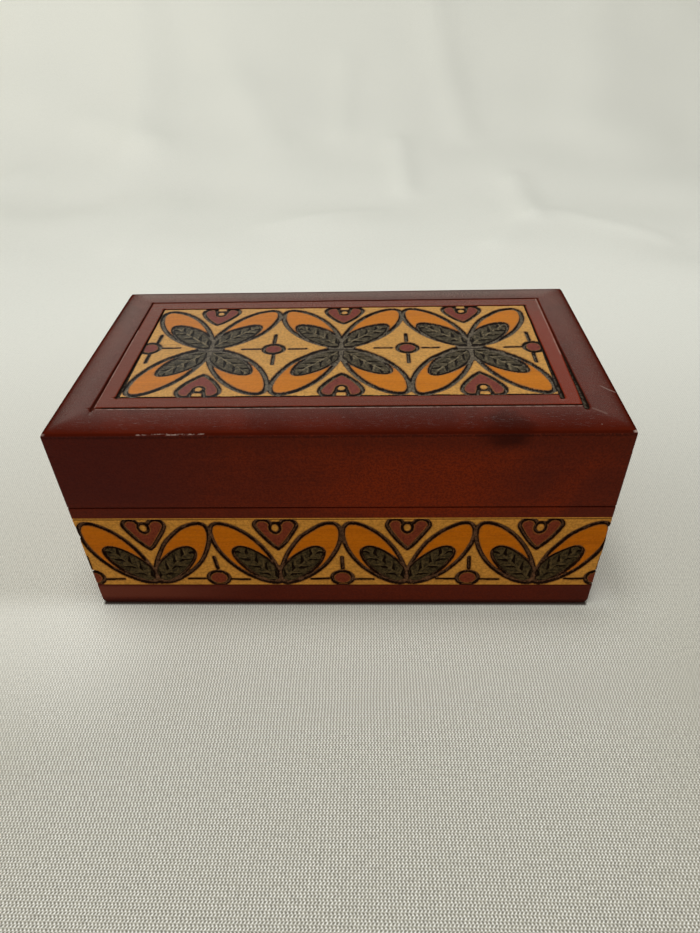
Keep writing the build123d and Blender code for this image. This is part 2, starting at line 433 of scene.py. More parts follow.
def tulip(middle, widening, strays):
    """Two petals with their leaves and the heart between them."""
    foot = np.array([middle, TULIP_FOOT])
    motifs = []
    for i, out in enumerate((-1, 1)):
        reach = np.array([out * widening, 1.0])
        tip = foot + reach * TULIP_PETAL
        leaf_tip = foot + reach * TULIP_LEAF + [strays[1 + i], 0]
        motifs.append(petal_motif(foot, tip, leaf_tip, WALL_GROOVE_SHARE, WALL_LEAF_BLUNTNESS))
    x = middle + strays[0]
    shape = TULIP_HEART_SHOULDER, TULIP_HEART_LOBE, TULIP_HEART_NOTCH, TULIP_HEART_BULGE
    eye = {"eye": (x + TULIP_EYE_SHIFT, TULIP_EYE), "eye_height": TULIP_EYE_HEIGHT, "edge": None}
    motifs.append({"kind": "heart", "outline": heart(x, TULIP_HEART_TIP, 1, *shape), **eye})
    reach, half = TULIP_FOOT_CUT["reach"], TULIP_FOOT_CUT["half_width"]
    level = TULIP_FOOT + TULIP_FOOT_CUT["rise"]
    motifs.append(line_motif((middle - reach, level), (middle + reach, level), half, half))
    return motifs


def tulip_dot(middle, strays):
    """A dot with a dash on each side and a bar above it."""
    height = TULIP_DOT_HEIGHT
    motifs = [{"kind": "dot", "outline": oval((middle, height), TULIP_DOT_HALF_WIDTHS)}]
    for side in (-1, 1):
        level = height - TULIP_DASH["drop"] - TULIP_DASH["tilt"] * side
        motifs.append(dash_motif(*((middle + side * end, level) for end in TULIP_DASH["ends"])))
    bar = [(middle + stray, height + rise) for stray, rise in zip(strays, TULIP_BAR["rises"])]
    motifs.append(line_motif(*bar, *TULIP_BAR["half_widths"]))
    return motifs


# Distances to the motifs
def near_points(x, y, low, high):
    """Which points lie inside a box widened by the reach."""
    return (x > low[0] - REACH) & (x < high[0] + REACH) & (y > low[1] - REACH) & (y < high[1] + REACH)


def to_segments(px, py, a, b):
    """Distance from each point to the nearest of the segments from a to b: to the foot of the perpendicular,
    or to the end beyond which that foot would lie."""
    run = b - a
    rx, ry = px[:, None] - a[:, 0], py[:, None] - a[:, 1]
    share = np.clip((rx * run[:, 0] + ry * run[:, 1]) / (run**2).sum(1), 0, 1)
    return np.hypot(rx - share * run[:, 0], ry - share * run[:, 1]).min(1)


def to_outline(x, y, outline):
    """Signed distance to a closed outline, negative inside, where a ray to the right crosses it an odd
    number of times. Points beyond the reach keep BIG."""
    result = np.full(x.shape, BIG)
    near = near_points(x, y, outline.min(0), outline.max(0))
    px, py = x[near], y[near]
    if not len(px):
        return result
    a, b = outline, np.roll(outline, -1, axis=0)
    distance = to_segments(px, py, a, b)
    straddles = (a[:, 1] > py[:, None]) != (b[:, 1] > py[:, None])
    rise = np.where(b[:, 1] == a[:, 1], 1.0, b[:, 1] - a[:, 1])
    crossing = a[:, 0] + (py[:, None] - a[:, 1]) * (b[:, 0] - a[:, 0]) / rise
    inside = (straddles & (px[:, None] < crossing)).sum(1) % 2 == 1
    result[near] = np.where(inside, -distance, distance)
    return result


def to_gouge(x, y, ends, halves, power=1):
    """Signed distance to a straight gouged line whose half width goes from one end's to the other's with a
    power of the way along."""
    start, end = np.array(ends, float)
    result = np.full(x.shape, BIG)
    near = near_points(x, y, np.minimum(start, end), np.maximum(start, end))
    rx, ry = x[near] - start[0], y[near] - start[1]
    run = end - start
    share = np.clip((rx * run[0] + ry * run[1]) / (run @ run), 0, 1)
    half = halves[0] + (halves[1] - halves[0]) * share**power
    result[near] = np.hypot(rx - share * run[0], ry - share * run[1]) - half
    return result


def freehand(x, y, amount=STRAY):
    """Small smooth shifts of a point, sums of sines that repeat after the box's perimeter, as a hand strays
    from a line."""
    rng = np.random.default_rng(5)
    shifts = []
    for _ in range(2):
        shift = np.zeros(x.shape)
        for turns in rng.integers(14, 60, 4):
            height, phase = rng.uniform(0.1, 0.7), rng.uniform(0, 2 * np.pi)
            shift += amount * np.sin(2 * np.pi * turns * x / perimeter + height * y + phase)
        shifts.append(shift)
    return x + shifts[0], y + shifts[1]


def distances(x, y, motifs, sizes):
    """Signed distances, negative inside, to what is grooved, orange, leaf or red, and each leaf point's
    places along and across its leaf."""
    groove_half = sizes.groove_width / MM / 2
    heart_half = sizes.heart_groove_width / MM / 2
    found = {name: np.full(x.shape, BIG) for name in ("groove", "petal", "leaf", "red")}
    along, across = np.zeros(x.shape), np.zeros(x.shape)
    u, v = freehand(x, y)

    def join(name, value):
        """Widens what is found under a name."""
        found[name] = np.minimum(found[name], value)

    for motif in motifs:
        if motif["kind"] == "line":
            join("groove", np.maximum(to_gouge(u, v, motif["ends"], motif["halves"]), motif["floor"]))
            continue
        shape = to_outline(u, v, motif["outline"])
        if motif["kind"] == "petal":
            leaf = np.maximum(to_outline(u, v, motif["leaf"]), shape)
            half = motif["share"] * groove_half
            join("petal", shape)
            join("leaf", leaf)
            join("groove", np.abs(shape) - half)
            join("groove", np.maximum(np.abs(leaf) - LEAF_GROOVE_SHARE * half, shape))
            foot, tip = motif["axis"]
            axis = (tip - foot) / np.hypot(*(tip - foot))
            inside = leaf < 0
            along[inside] = ((u - foot[0]) * axis[0] + (v - foot[1]) * axis[1])[inside]
            across[inside] = (np.sign(axis[0]) * ((v - foot[1]) * axis[0] - (u - foot[0]) * axis[1]))[inside]
        elif motif["kind"] == "dot":
            join("red", shape + heart_half)
            join("groove", np.abs(shape) - heart_half)
        else:
            carve_heart(u, v, shape, motif, heart_half, join)
    return found, along, across


def carve_heart(u, v, shape, motif, half, join):
    """A heart's groove, its bare eye with a ring, and on the lid the ring's two legs to the panel's edge
    with a bare patch between them."""
    x, y = motif["eye"]
    eye = np.hypot(u - x, (v - y) / motif["eye_height"])
    bare = eye - EYE_RADIUS
    ring = np.abs(eye - EYE_LINE_RADIUS) - EYE_LINE_HALF_WIDTH
    if motif["edge"] is not None:
        out = np.sign(y)
        beyond = (v - y) * out
        patch = np.maximum(np.abs(u - x) - EYE_PATCH_HALF_WIDTH, EYE_PATCH_START - beyond)
        bare = np.minimum(bare, patch)
        dash = [(x + side * EYE_DASH[0], y + EYE_DASH[1] * out) for side in (-1, 1)]
        ring = np.minimum(ring, to_gouge(u, v, dash, (EYE_DASH_HALF_WIDTH, EYE_DASH_HALF_WIDTH)))
        for side in (-1, 1):
            leg = (x + side * LEG_START[0], y + LEG_START[1] * out), (x + side * LEG_SPREAD, motif["edge"])
            ring = np.minimum(ring, to_gouge(u, v, leg, LEG_HALF_WIDTHS))
    join("red", np.maximum(shape, -bare))
    join("groove", np.maximum(np.abs(shape) - half, EYE_CLEARANCE - bare))
    join("groove", np.where(shape < EYE_OVERRUN, ring, BIG))


def frame_lines(x, y):
    """Signed distance to the eight gouged lines round the lid's panel."""
    result = np.full(x.shape, BIG)
    for reach_x, reach_y, lines in ((frame_x, frame_y, OUTER_LINES), (panel_x, panel_y, INNER_LINES)):
        for side, (overruns, halves) in lines.items():
            if side in ("front", "back"):
                level = reach_y if side == "back" else -reach_y
                ends = (-reach_x - overruns[0], level), (reach_x + overruns[1], level)
            else:
                level = reach_x if side == "right" else -reach_x
                ends = (level, reach_y + overruns[0]), (level, -reach_y - overruns[1])
            result = np.minimum(result, to_gouge(*freehand(x, y, FRAME_STRAY), ends, halves, 2))
    return result


# How steep the cuts are: the run of a wall, and that of a chip's wall in chip spacings. Then the crown of a
# leaf, the chips beside its midrib, and how far hearts and dots are sunk.
CUT_WALL = 0.3
CHIP_WALL = 0.06
CROWN_HEIGHT = 0.14
CROWN_RUN = 2.5
CHIP_DEPTH = 0.3
CHIP_SPACING = 4.1
CHIP_HALF_WIDTH = 0.2
CHIP_REACH = 3.6
MIDRIB_HALF_WIDTH = 0.3
RED_DEPTH = 0.07


def carved_depth(found, along, across, sizes):
    """How far the face is sunk: grooves with steep walls and a flat floor, leaves sunk whole with a crown
    and with chips cut beside the midrib, and hearts and dots a little below the face."""
    cut = {name: np.clip(-found[name] / CUT_WALL, 0, 1) for name in ("groove", "leaf", "red")}
    crown = CROWN_HEIGHT * np.clip(-found["leaf"] / CROWN_RUN, 0, 1)
    off = np.abs(across)
    in_chip = np.clip((chip_width(off) - chip_phase(along, across)) / CHIP_WALL, 0, 1)
    chips = CHIP_DEPTH * in_chip * (off > MIDRIB_HALF_WIDTH)
    leaf = (sizes.leaf_depth / MM - crown + chips) * cut["leaf"]
    return np.maximum(np.maximum(sizes.groove_depth / MM * cut["groove"], leaf), RED_DEPTH * cut["red"])


def chip_phase(along, across):
    """How far a leaf point lies from the nearest chip's middle line, in spacings: the chips leave the midrib
    at 45 degrees, and those on the two sides are set half a spacing apart."""
    phase = (along - np.abs(across)) / CHIP_SPACING + np.where(across > 0, 0.5, 0.0)
    return np.abs(phase - np.round(phase))


def chip_width(off):
    """Half width of a chip in spacings: full at the midrib, none at the chips' reach."""
    return CHIP_HALF_WIDTH * np.clip(1 - off / CHIP_REACH, 0, 1)


SNAP_SHARE = 0.45


def snapped(x, y, across, up, edge):
    """Grid points beside a groove's edge, moved on to it: each goes down the slope of the signed distance
    by the distance, if that is under half a cell. The grid's own edges stay."""
    slope_y, slope_x = np.gradient(edge, up, across)
    cell = np.minimum(np.gradient(across)[None, :], np.gradient(up)[:, None])
    move = np.where(np.abs(edge) < SNAP_SHARE * cell, -edge, 0.0)
    move[[0, -1], :] = 0
    move[:, [0, -1]] = 0
    steep = np.maximum(np.hypot(slope_x, slope_y), 0.5) ** 2
    return x + move * slope_x / steep, y + move * slope_y / steep


# Grids and meshes
def graded(stretches):
    """Places along a line from (end, spacing) stretches: each is divided evenly in steps near its spacing."""
    places = [np.array([stretches[0][0]])]
    for (start, _), (end, spacing) in zip(stretches[:-1], stretches[1:]):
        steps = max(1, round((end - start) / spacing))
        places.append(np.linspace(start, end, steps + 1)[1:])
    return np.concatenate(places)


def mirrored(places):
    """Places on both sides of zero, from those on the positive side that start at zero."""
    return np.concatenate([-places[:0:-1], places])


def grid_quads(rows, columns):
    """Faces of a grid whose points are numbered along each row in turn."""
    index = np.arange(rows * columns).reshape(rows, columns)
    corners = (index[:-1, :-1], index[:-1, 1:], index[1:, 1:], index[1:, :-1])
    return np.stack(corners, -1).reshape(-1, 4), index


def new_piece(name, points, quads, polygons, marks, materials, choice=None):
    """An object from points in millimetres, four-sided faces, larger polygons and attributes. The choice
    gives each face's material, and the first is for all where there is none."""
    mesh = bpy.data.meshes.new(name)
    totals = np.array([4] * len(quads) + [len(p) for p in polygons])
    loops = np.concatenate([quads.ravel()] + [np.asarray(p) for p in polygons]).astype(np.int32)
    mesh.vertices.add(len(points))
    mesh.vertices.foreach_set("co", (points * MM).astype(np.float32).ravel())
    mesh.loops.add(len(loops))
    mesh.loops.foreach_set("vertex_index", loops)
    mesh.polygons.add(len(totals))
    mesh.polygons.foreach_set("loop_start", (np.cumsum(totals) - totals).astype(np.int32))
    if choice is not None:
        mesh.polygons.foreach_set("material_index", choice.astype(np.int32))
    mesh.update(calc_edges=True)
    for key, values in marks.items():
        padded = np.zeros(len(points), np.float32)
        padded[: values.size] = values.ravel()
        mesh.attributes.new(key, "FLOAT", "POINT").data.foreach_set("value", padded)
    mesh.validate()
    mesh.shade_smooth()
    mesh.set_sharp_from_angle(angle=math.radians(42))
    for material in materials:
        mesh.materials.append(material)
    piece = bpy.data.objects.new(name, mesh)
    bpy.context.scene.collection.objects.link(piece)
    return piece


def paint_marks(found, along, across):
    """Attributes for the paint: 1 at an edge, more inside, and 0 from 1 mm outside on; and the places along
    and across a leaf."""
    marks = {name: np.clip(1 - value, 0, BIG) for name, value in found.items()}
    marks["leaf_along"] = along
    marks["leaf_across"] = across
    return marks


# The lid's top board: its rows are closer than its columns, and closest along the middle line
ROW_SHARE = 0.78
MIDDLE_SPACING = 0.2


def inset_from_edges(x, y):
    """Distance from the nearest edge of the lid, seen from above."""
    return np.minimum(half_length - np.abs(x), half_width - np.abs(y))


def roll_drop(inset):
    """How far the rolled border has fallen below the flat top: an arc that leaves it without a kink."""
    radius = (BORDER_WIDTH**2 + BORDER_DROP**2) / (2 * BORDER_DROP)
    run = np.clip(BORDER_WIDTH - inset, 0, BORDER_WIDTH)
    return radius - np.sqrt(radius**2 - run**2)


def rounded_plan(x, y, reach_x, reach_y, radius):
    """Points of a rectangle moved so that its corners are round: in each corner square a point keeps its
    larger distance m from the square's inner corner, and its direction turns evenly along the arc."""
    u, v = np.abs(x) - (reach_x - radius), np.abs(y) - (reach_y - radius)
    corner = (u > 0) & (v > 0)
    m = np.maximum(u, v)
    share = np.minimum(u, v) / np.where(m == 0, 1, m)
    angle = np.where(u >= v, share, 2 - share) * np.pi / 4
    new_x = np.sign(x) * (reach_x - radius + m * np.cos(angle))
    new_y = np.sign(y) * (reach_y - radius + m * np.sin(angle))
    return np.where(corner, new_x, x), np.where(corner, new_y, y)


def lid_lines(half, cell, middle):
    """Places of the grid's lines from the middle to an edge: fine in the panel and at the frame's lines."""
    stretches = (
        (0, 0),
        (1.6, middle),
        (half - panel_inset - 0.8, cell),
        (half - panel_inset + 0.8, 0.2),
        (half - frame_inset - 0.9, 0.9),
        (half - frame_inset + 0.9, 0.2),
        (half - ARRIS_RADIUS, 1.3),
    )
    return mirrored(graded(stretches))


def lid_top(materials, sizes):
    """The top board: a grid for its face, rings that round its arris and run down its edges, and a flat
    underside. Its materials are for the border, the long edges and the underside, the short edges, and the
    carved panel."""
    motifs = lid_pattern()
    cell = sizes.lid_cell / MM
    across = lid_lines(half_length, cell, cell)
    up = lid_lines(half_width, ROW_SHARE * cell, MIDDLE_SPACING)
    x, y = np.meshgrid(across, up)
    edge = np.minimum(distances(x, y, motifs, sizes)[0]["groove"], frame_lines(x, y))
    x, y = snapped(x, y, across, up, edge)
    reach = (half_length - ARRIS_RADIUS, half_width - ARRIS_RADIUS)
    x, y = rounded_plan(x, y, *reach, CORNER_RADIUS - ARRIS_RADIUS)
    inset = inset_from_edges(x, y)
    found, along, over = distances(x, y, motifs, sizes)
    for name in found:
        found[name] = np.where(inset > panel_inset, found[name], BIG)
    found["line"] = frame_lines(x, y)
    depth = carved_depth(found, along, over, sizes)
    depth = np.maximum(depth, FRAME_LINE_DEPTH * np.clip(-found["line"] / FRAME_LINE_WALL, 0, 1))
    z = box_top - roll_drop(inset) - depth
    quads, index = grid_quads(*x.shape)
    border = np.concatenate([index[0, :-1], index[:-1, -1], index[-1, :0:-1], index[:0:-1, 0]])
    rim = np.stack([x.ravel()[border], y.ravel()[border], z.ravel()[border]], 1)
    outward = outward_directions(rim, reach, CORNER_RADIUS - ARRIS_RADIUS)
    rings, faces = [], [quads]
    last, count = border, x.size
    for turn in np.radians((25, 50, 75, 90)):
        out, down = ARRIS_RADIUS * math.sin(turn), ARRIS_RADIUS * (1 - math.cos(turn))
        rings.append(rim + np.column_stack([outward * out, np.full(len(rim), -down)]))
    foot = rings[-1].copy()
    foot[:, 2] = top_underside
    rings.append(foot)
    for _ in rings:
        ring = np.arange(count, count + len(border))
        faces.append(np.stack([last, ring, np.roll(ring, -1), np.roll(last, -1)], 1))
        last, count = ring, count + len(border)
    points = np.concatenate([np.stack([x, y, z], -1).reshape(-1, 3)] + rings)
    ends = np.abs(outward[:, 0]) > np.abs(outward[:, 1])
    middle = points[quads].mean(1)
    in_panel = (np.abs(middle[:, 0]) < panel_x) & (np.abs(middle[:, 1]) < panel_y)
    edge = np.where(ends, 2, 1)
    choice = np.concatenate([np.where(in_panel, 3, 0), np.zeros(2 * len(border)), np.tile(edge, 3), [1]])
    quads = np.concatenate(faces)
    marks = paint_marks(found, along, over)
    return new_piece("carved_lid_top", points, quads, [last[::-1]], marks, materials, choice)


def outward_directions(points, reach, radius):
    """Directions straight out of a rounded rectangle at points on its outline."""
    core = np.array(reach) - radius
    away = points[:, :2] - np.clip(points[:, :2], -core, core)
    return away / np.linalg.norm(away, axis=1)[:, None]


# The body's carved walls
SIDES = {
    "front": {"turn": 0, "face": half_width, "corner": half_length},
    "right": {"turn": 1, "face": half_length, "corner": half_width},
    "back": {"turn": 2, "face": half_width, "corner": half_length},
    "left": {"turn": 3, "face": half_length, "corner": half_width},
}


def turned(along, out, z, turn):
    """Points given along a wall and out from the box's middle, turned to its side by quarter turns."""
    along, out, z = np.broadcast_arrays(along, out, z)
    c, s = ((1, 0), (0, 1), (-1, 0), (0, -1))[turn]
    return np.stack([along * c + out * s, along * s - out * c, z], -1)


def round_corner(along, inset, corner):
    """Where a strip that bends round the wall's corners lies: place along, place out from the face's plane,
    and the direction it faces. A corner's arc stands for the two short straights that it cuts off. Where
    the outline lies further in by an inset, its corners are rounder, the face is squeezed between them, and
    the stretch past each arc is squeezed too, so that it ends where the next wall's face begins."""
    radius = CORNER_RADIUS + FOOT_SPREAD * inset
    lip = half_width - lip_reach
    beyond = np.abs(along) - (corner - CORNER_RADIUS)
    turn = np.clip(beyond / (2 * CORNER_RADIUS), 0, 1) * np.pi / 2
    side = np.sign(along)
    squeeze = (corner - inset - radius) / (corner - CORNER_RADIUS)
    place = side * (np.minimum(np.abs(along), corner - CORNER_RADIUS) * squeeze + radius * np.sin(turn))
    past = np.maximum(beyond - 2 * CORNER_RADIUS, 0) * (lip - inset - radius) / (lip - CORNER_RADIUS)
    return place, -(inset + radius * (1 - np.cos(turn)) + past), side * np.sin(turn), np.cos(turn)


def foot_inset(z):
    """How far the outline steps back at the foot: a quarter of an ellipse."""
    foot = np.clip((FOOT_RISE - z) / FOOT_RISE, 0, 1)
    return FOOT_EASING * (1 - np.sqrt(1 - foot**2))


def rim_depth(z):
    """How far the face steps back at the rim: a quarter round."""
    rim = np.clip((z - body_rim + RIM_EASING) / RIM_EASING, 0, 1)
    return RIM_EASING * (1 - np.sqrt(1 - rim**2))


def scored_depth(z):
    """Depth of the V lines above and below the frieze."""
    half = SCORED_LINE_WIDTH / 2
    off = np.minimum(np.abs(z - frieze_foot), np.abs(z - frieze_head))
    return SCORED_LINE_DEPTH * np.clip((half - off) / half, 0, 1)


def wall_strip(side, reach, sizes):
    """The carved outer face of a wall: a grid along the strip and up the wall, from -reach to reach."""
    place = SIDES[side]
    cell = sizes.wall_cell / MM
    across = mirrored(graded(((0, 0), (reach, cell))))
    up = graded(
        (
            (0, 0),
            (0.18, 0.06),
            (FOOT_RISE, 0.19),
            (frieze_foot - 0.5, 1.2),
            (frieze_foot + 0.5, 0.25),
            (frieze_head - 0.4, cell),
            (frieze_head + 0.8, 0.2),
            (body_rim - RIM_EASING, 1.0),
            (body_rim - 0.08, 0.11),
            (body_rim, 0.04),
        )
    )
    start = place["turn"] * (half_length + half_width)
    motifs = frieze_pattern(start - reach, start + reach)
    s, z = np.meshgrid(across, up)
    edge = distances(s + start, z, motifs, sizes)[0]["groove"]
    moved_s, z = snapped(s + start, z, across + start, up, edge)
    s = moved_s - start
    found, leaf_along, leaf_across = distances(s + start, z, motifs, sizes)
    band = (z > frieze_foot) & (z < frieze_head)
    for name in found:
        found[name] = np.where(band, found[name], BIG)
    depth = np.maximum(carved_depth(found, leaf_along, leaf_across, sizes), scored_depth(z)) + rim_depth(z)
    inset = foot_inset(z)
    if reach > place["corner"]:
        along, out, lean, straight = round_corner(s, inset, place["corner"])
    else:
        along, out, lean, straight = s, -inset, np.zeros(s.shape), np.ones(s.shape)
    along = along - depth * lean
    out = place["face"] + out - depth * straight
    if side == "back":
        out = bevelled(out, z)
    return along, out, z, paint_marks(found, leaf_along, leaf_across)


def bevelled(out, z):
    """The back wall's face squeezed towards the box where the bevel runs, from the wall's lip outwards."""
    fall = BEVEL_RUN * np.clip((z - body_rim + BEVEL_RISE) / BEVEL_RISE, 0, 1)
    share = (half_width - fall - lip_reach) / (half_width - lip_reach)
    return lip_reach + (out - lip_reach) * share


def carved_wall(side, material, sizes):
    """A whole wall: its carved strip, closed behind by plain faces with the rabbets for the corner and the
    bottom board."""
    long_wall = side in ("front", "back")
    corner = SIDES[side]["corner"]
    reach = corner + half_width - lip_reach if long_wall else lip_reach
    along, out, z, marks = wall_strip(side, reach, sizes)
    turn = SIDES[side]["turn"]
    quads, index = grid_quads(*along.shape)
    count = along.size
    inner = (half_width if long_wall else half_length) - wall
    notch = floor_high[1] if long_wall else floor_high[0]
    room = half_length - wall if long_wall else floor_high[1]
    corners = []

    def at(a, o, height):
        """Adds a corner and gives its number."""
        corners.append(turned(np.array(a, float), np.array(o, float), np.array(height, float), turn))
        return count + len(corners) - 1

    outline = index[0], index[-1], index[:, 0], index[:, -1]
    back = long_wall_back if long_wall else end_wall_back
    polygons = back(at, room, inner, notch, *outline)
    points = np.concatenate([turned(along, out, z, turn).reshape(-1, 3), np.array(corners)])
    return new_piece(f"carved_{side}_wall", points, quads, polygons, marks, [material])


def long_wall_back(at, room, inner, notch, foot, head, left, right):
    """Plain faces of a front or back wall. In plan it is a bar whose ends are rabbeted to thin lips, with a
    notch along its foot for the bottom board."""
    rim, sill, lip = body_rim, floor_high[2], lip_reach
    corner = {}
    for s in (-1, 1):
        corner[s] = {
            "lip_foot": at(s * room, lip, 0),
            "lip_head": at(s * room, lip, rim),
            "notch_foot": at(s * room, notch, 0),
            "notch_sill": at(s * room, notch, sill),
            "inner_sill": at(s * room, inner, sill),
            "inner_head": at(s * room, inner, rim),
        }
    l, r = corner[-1], corner[1]
    ends = [
        [*right[::-1], r["lip_foot"], r["lip_head"]],
        [*left, l["lip_head"], l["lip_foot"]],
        [r[k] for k in ("notch_foot", "notch_sill", "inner_sill", "inner_head", "lip_head", "lip_foot")],
        [l[k] for k in ("inner_head", "inner_sill", "notch_sill", "notch_foot", "lip_foot", "lip_head")],
    ]
    runs = [
        [l["inner_sill"], l["inner_head"], r["inner_head"], r["inner_sill"]],
        [l["notch_sill"], l["inner_sill"], r["inner_sill"], r["notch_sill"]],
        [l["notch_foot"], l["notch_sill"], r["notch_sill"], r["notch_foot"]],
        [*foot[::-1], l["lip_foot"], l["notch_foot"], r["notch_foot"], r["lip_foot"]],
        [*head, r["lip_head"], r["inner_head"], l["inner_head"], l["lip_head"]],
    ]
    return ends + runs


def end_wall_back(at, room, inner, notch, foot, head, left, right):
    """Plain faces of a left or right wall: a bar with square ends, its foot notched but for its ends."""
    rim, sill, lip = body_rim, floor_high[2], lip_reach
    corner = {}
    for s in (-1, 1):
        corner[s] = {
            "foot": at(s * lip, inner, 0),
            "head": at(s * lip, inner, rim),
            "inner_foot": at(s * room, inner, 0),
            "inner_sill": at(s * room, inner, sill),
            "notch_foot": at(s * room, notch, 0),
            "notch_sill": at(s * room, notch, sill),
        }
    l, r = corner[-1], corner[1]
    inside = [r["inner_foot"], r["inner_sill"], l["inner_sill"], l["inner_foot"]]
    bottom = [l["foot"], l["inner_foot"], l["notch_foot"], r["notch_foot"], r["inner_foot"], r["foot"]]
    return [
        [*right[::-1], r["foot"], r["head"]],
        [*left, l["head"], l["foot"]],
        [*inside, l["foot"], l["head"], r["head"], r["foot"]],
        [r["notch_foot"], r["notch_sill"], r["inner_sill"], r["inner_foot"]],
        [l["notch_sill"], l["notch_foot"], l["inner_foot"], l["inner_sill"]],
        [l["notch_sill"], l["inner_sill"], r["inner_sill"], r["notch_sill"]],
        [l["notch_foot"], l["notch_sill"], r["notch_sill"], r["notch_foot"]],
        [*foot[::-1], *bottom],
        [*head, r["head"], l["head"]],
    ]


# Shader nodes
def is_socket(value):
    """Whether a value is a node's socket, to be linked, and not a number or colour, to be set."""
    return isinstance(value, bpy.types.NodeSocket)


def shaded(colour, factor):
    """A colour made darker or lighter by one factor, or by one for each channel."""
    return tuple(float(c) for c in np.minimum(1.0, np.array(colour) * factor))


class Nodes:
    """A node tree whose nodes are added and linked by name."""

    def __init__(self, tree):
        self.tree = tree
        tree.nodes.clear()

    def add(self, kind, inputs, **settings):
        """A node with its settings, and with each input linked or set."""
        node = self.tree.nodes.new(kind)
        for key, value in settings.items():
            setattr(node, key, value)
        for key, value in inputs.items():
            if is_socket(value):
                self.tree.links.new(value, node.inputs[key])
            else:
                node.inputs[key].default_value = value
        return node

    def math(self, operation, *values):
        """One step of arithmetic."""
        return self.add("ShaderNodeMath", dict(enumerate(values)), operation=operation).outputs[0]

    def sum(self, *values):
        """All the values added up."""
        total = values[0]
        for value in values[1:]:
            total = self.math("ADD", total, value)
        return total

    def times(self, *values):
        """All the values multiplied."""
        product = values[0]
        for value in values[1:]:
            product = self.math("MULTIPLY", product, value)
        return product

    def larger(self, a, b):
        """The larger of two values."""
        return self.math("MAXIMUM", a, b)

    def size_of(self, a):
        """A value without its sign."""
        return self.math("ABSOLUTE", a)

    def stray(self, value, amount):
        """A value from 0 to 1, centred on zero and multiplied by an amount."""
        return self.times(self.sum(value, -0.5), amount)

    def less(self, share, amount):
        """1, less an amount of a share."""
        return self.sum(1.0, self.times(share, -amount))

    def rise(self, value, low, high):
        """0 below low, 1 above high, smooth between; falls instead where low is above high."""
        inputs = {"Value": value, "From Min": low, "From Max": high}
        return self.add("ShaderNodeMapRange", inputs, interpolation_type="SMOOTHSTEP").outputs[0]

    def between(self, value, low, high, soft):
        """1 between low and high, with soft edges."""
        rising = self.rise(value, low - soft, low + soft)
        return self.times(rising, self.rise(value, high + soft, high - soft))

    def mixed(self, share, a, b):
        """Colour a, with colour b over it by a share."""
        a, b = [c if is_socket(c) else (*c, 1.0) for c in (a, b)]
        return self.add("ShaderNodeMix", {0: share, 6: a, 7: b}, data_type="RGBA").outputs[2]

    def wash(self, under, tone, factor, *shares):
        """A colour with a tone over it, shaded by a factor, by the product of the shares."""
        return self.mixed(self.times(*shares), under, shaded(tone, factor))


class Finish(Nodes):
    """A material that reads its place on the object in millimetres."""

    def __init__(self, name):
        self.material = bpy.data.materials.new(name)
        self.material.use_nodes = True
        super().__init__(self.material.node_tree)
        source = self.add("ShaderNodeTexCoord", {}).outputs["Object"]
        scaled = self.add("ShaderNodeVectorMath", {0: source, "Scale": 1 / MM}, operation="SCALE")
        self.place = scaled.outputs[0]
        self.x, self.y, self.z = self.add("ShaderNodeSeparateXYZ", {0: self.place}).outputs

    def mark(self, name):
        """An attribute of the mesh: 1 at a painted area's edge and more inside it."""
        return self.add("ShaderNodeAttribute", {}, attribute_name=name).outputs["Fac"]

    def stretched(self, vector, scale, offset=(0, 0, 0)):
        """Coordinates squeezed by a scale for each axis."""
        inputs = {"Vector": vector, "Scale": scale, "Location": offset}
        return self.add("ShaderNodeMapping", inputs).outputs[0]

    def noise(self, scale, detail=3.0, roughness=0.55, distortion=0.0, place=None):
        """Noise from 0 to 1, with a scale in waves per millimetre, at the object's own place or another."""
        inputs = {
            "Vector": place or self.place,
            "Scale": scale,
            "Detail": detail,
            "Roughness": roughness,
            "Distortion": distortion,
        }
        return self.add("ShaderNodeTexNoise", inputs).outputs[0]

    def streak(self, start, end, half, soft):
        """1 along a straight scratch seen from above, with soft edges."""
        run = np.array(end) - start
        length = np.hypot(*run)
        run = run / length
        along = self.sum(self.times(self.x, run[0]), self.times(self.y, run[1]), -run @ start)
        level = run[1] * start[0] - run[0] * start[1]
        side = self.sum(self.times(self.x, -run[1]), self.times(self.y, run[0]), level)
        in_width = self.rise(self.size_of(side), half + soft, half - soft)
        return self.times(self.between(along, 0, length, 0.4), in_width)

    def box_share(self, reach_x, reach_y, soft):
        """1 inside a rectangle round the middle, seen from above, with soft edges."""
        in_x = self.rise(self.size_of(self.x), reach_x + soft, reach_x - soft)
        in_y = self.rise(self.size_of(self.y), reach_y + soft, reach_y - soft)
        return self.times(in_x, in_y)

    def area(self, x_ends, y_ends):
        """A share that sets in between two places along X and between two along Y."""
        return self.times(self.rise(self.x, *x_ends), self.rise(self.y, *y_ends))

    def surface(self, colour, roughness, height, **settings):
        """The shader and the output, with a bump in millimetres."""
        inputs = {"Height": self.times(height, MM), "Strength": 1.0, "Distance": 1.0}
        normal = self.add("ShaderNodeBump", inputs).outputs[0]
        inputs = {"Base Color": colour, "Roughness": roughness, "Normal": normal, **settings}
        shader = self.add("ShaderNodeBsdfPrincipled", inputs)
        self.add("ShaderNodeOutputMaterial", {"Surface": shader.outputs[0]})
        return self.material


GRAIN = {"along_box": (0.05, 1.0, 1.0), "across_box": (1.0, 0.05, 1.0)}
PORE_SQUEEZE = (2.6, 2.6, 2.6)
PORE_SHIFT = (3, 5, 1)


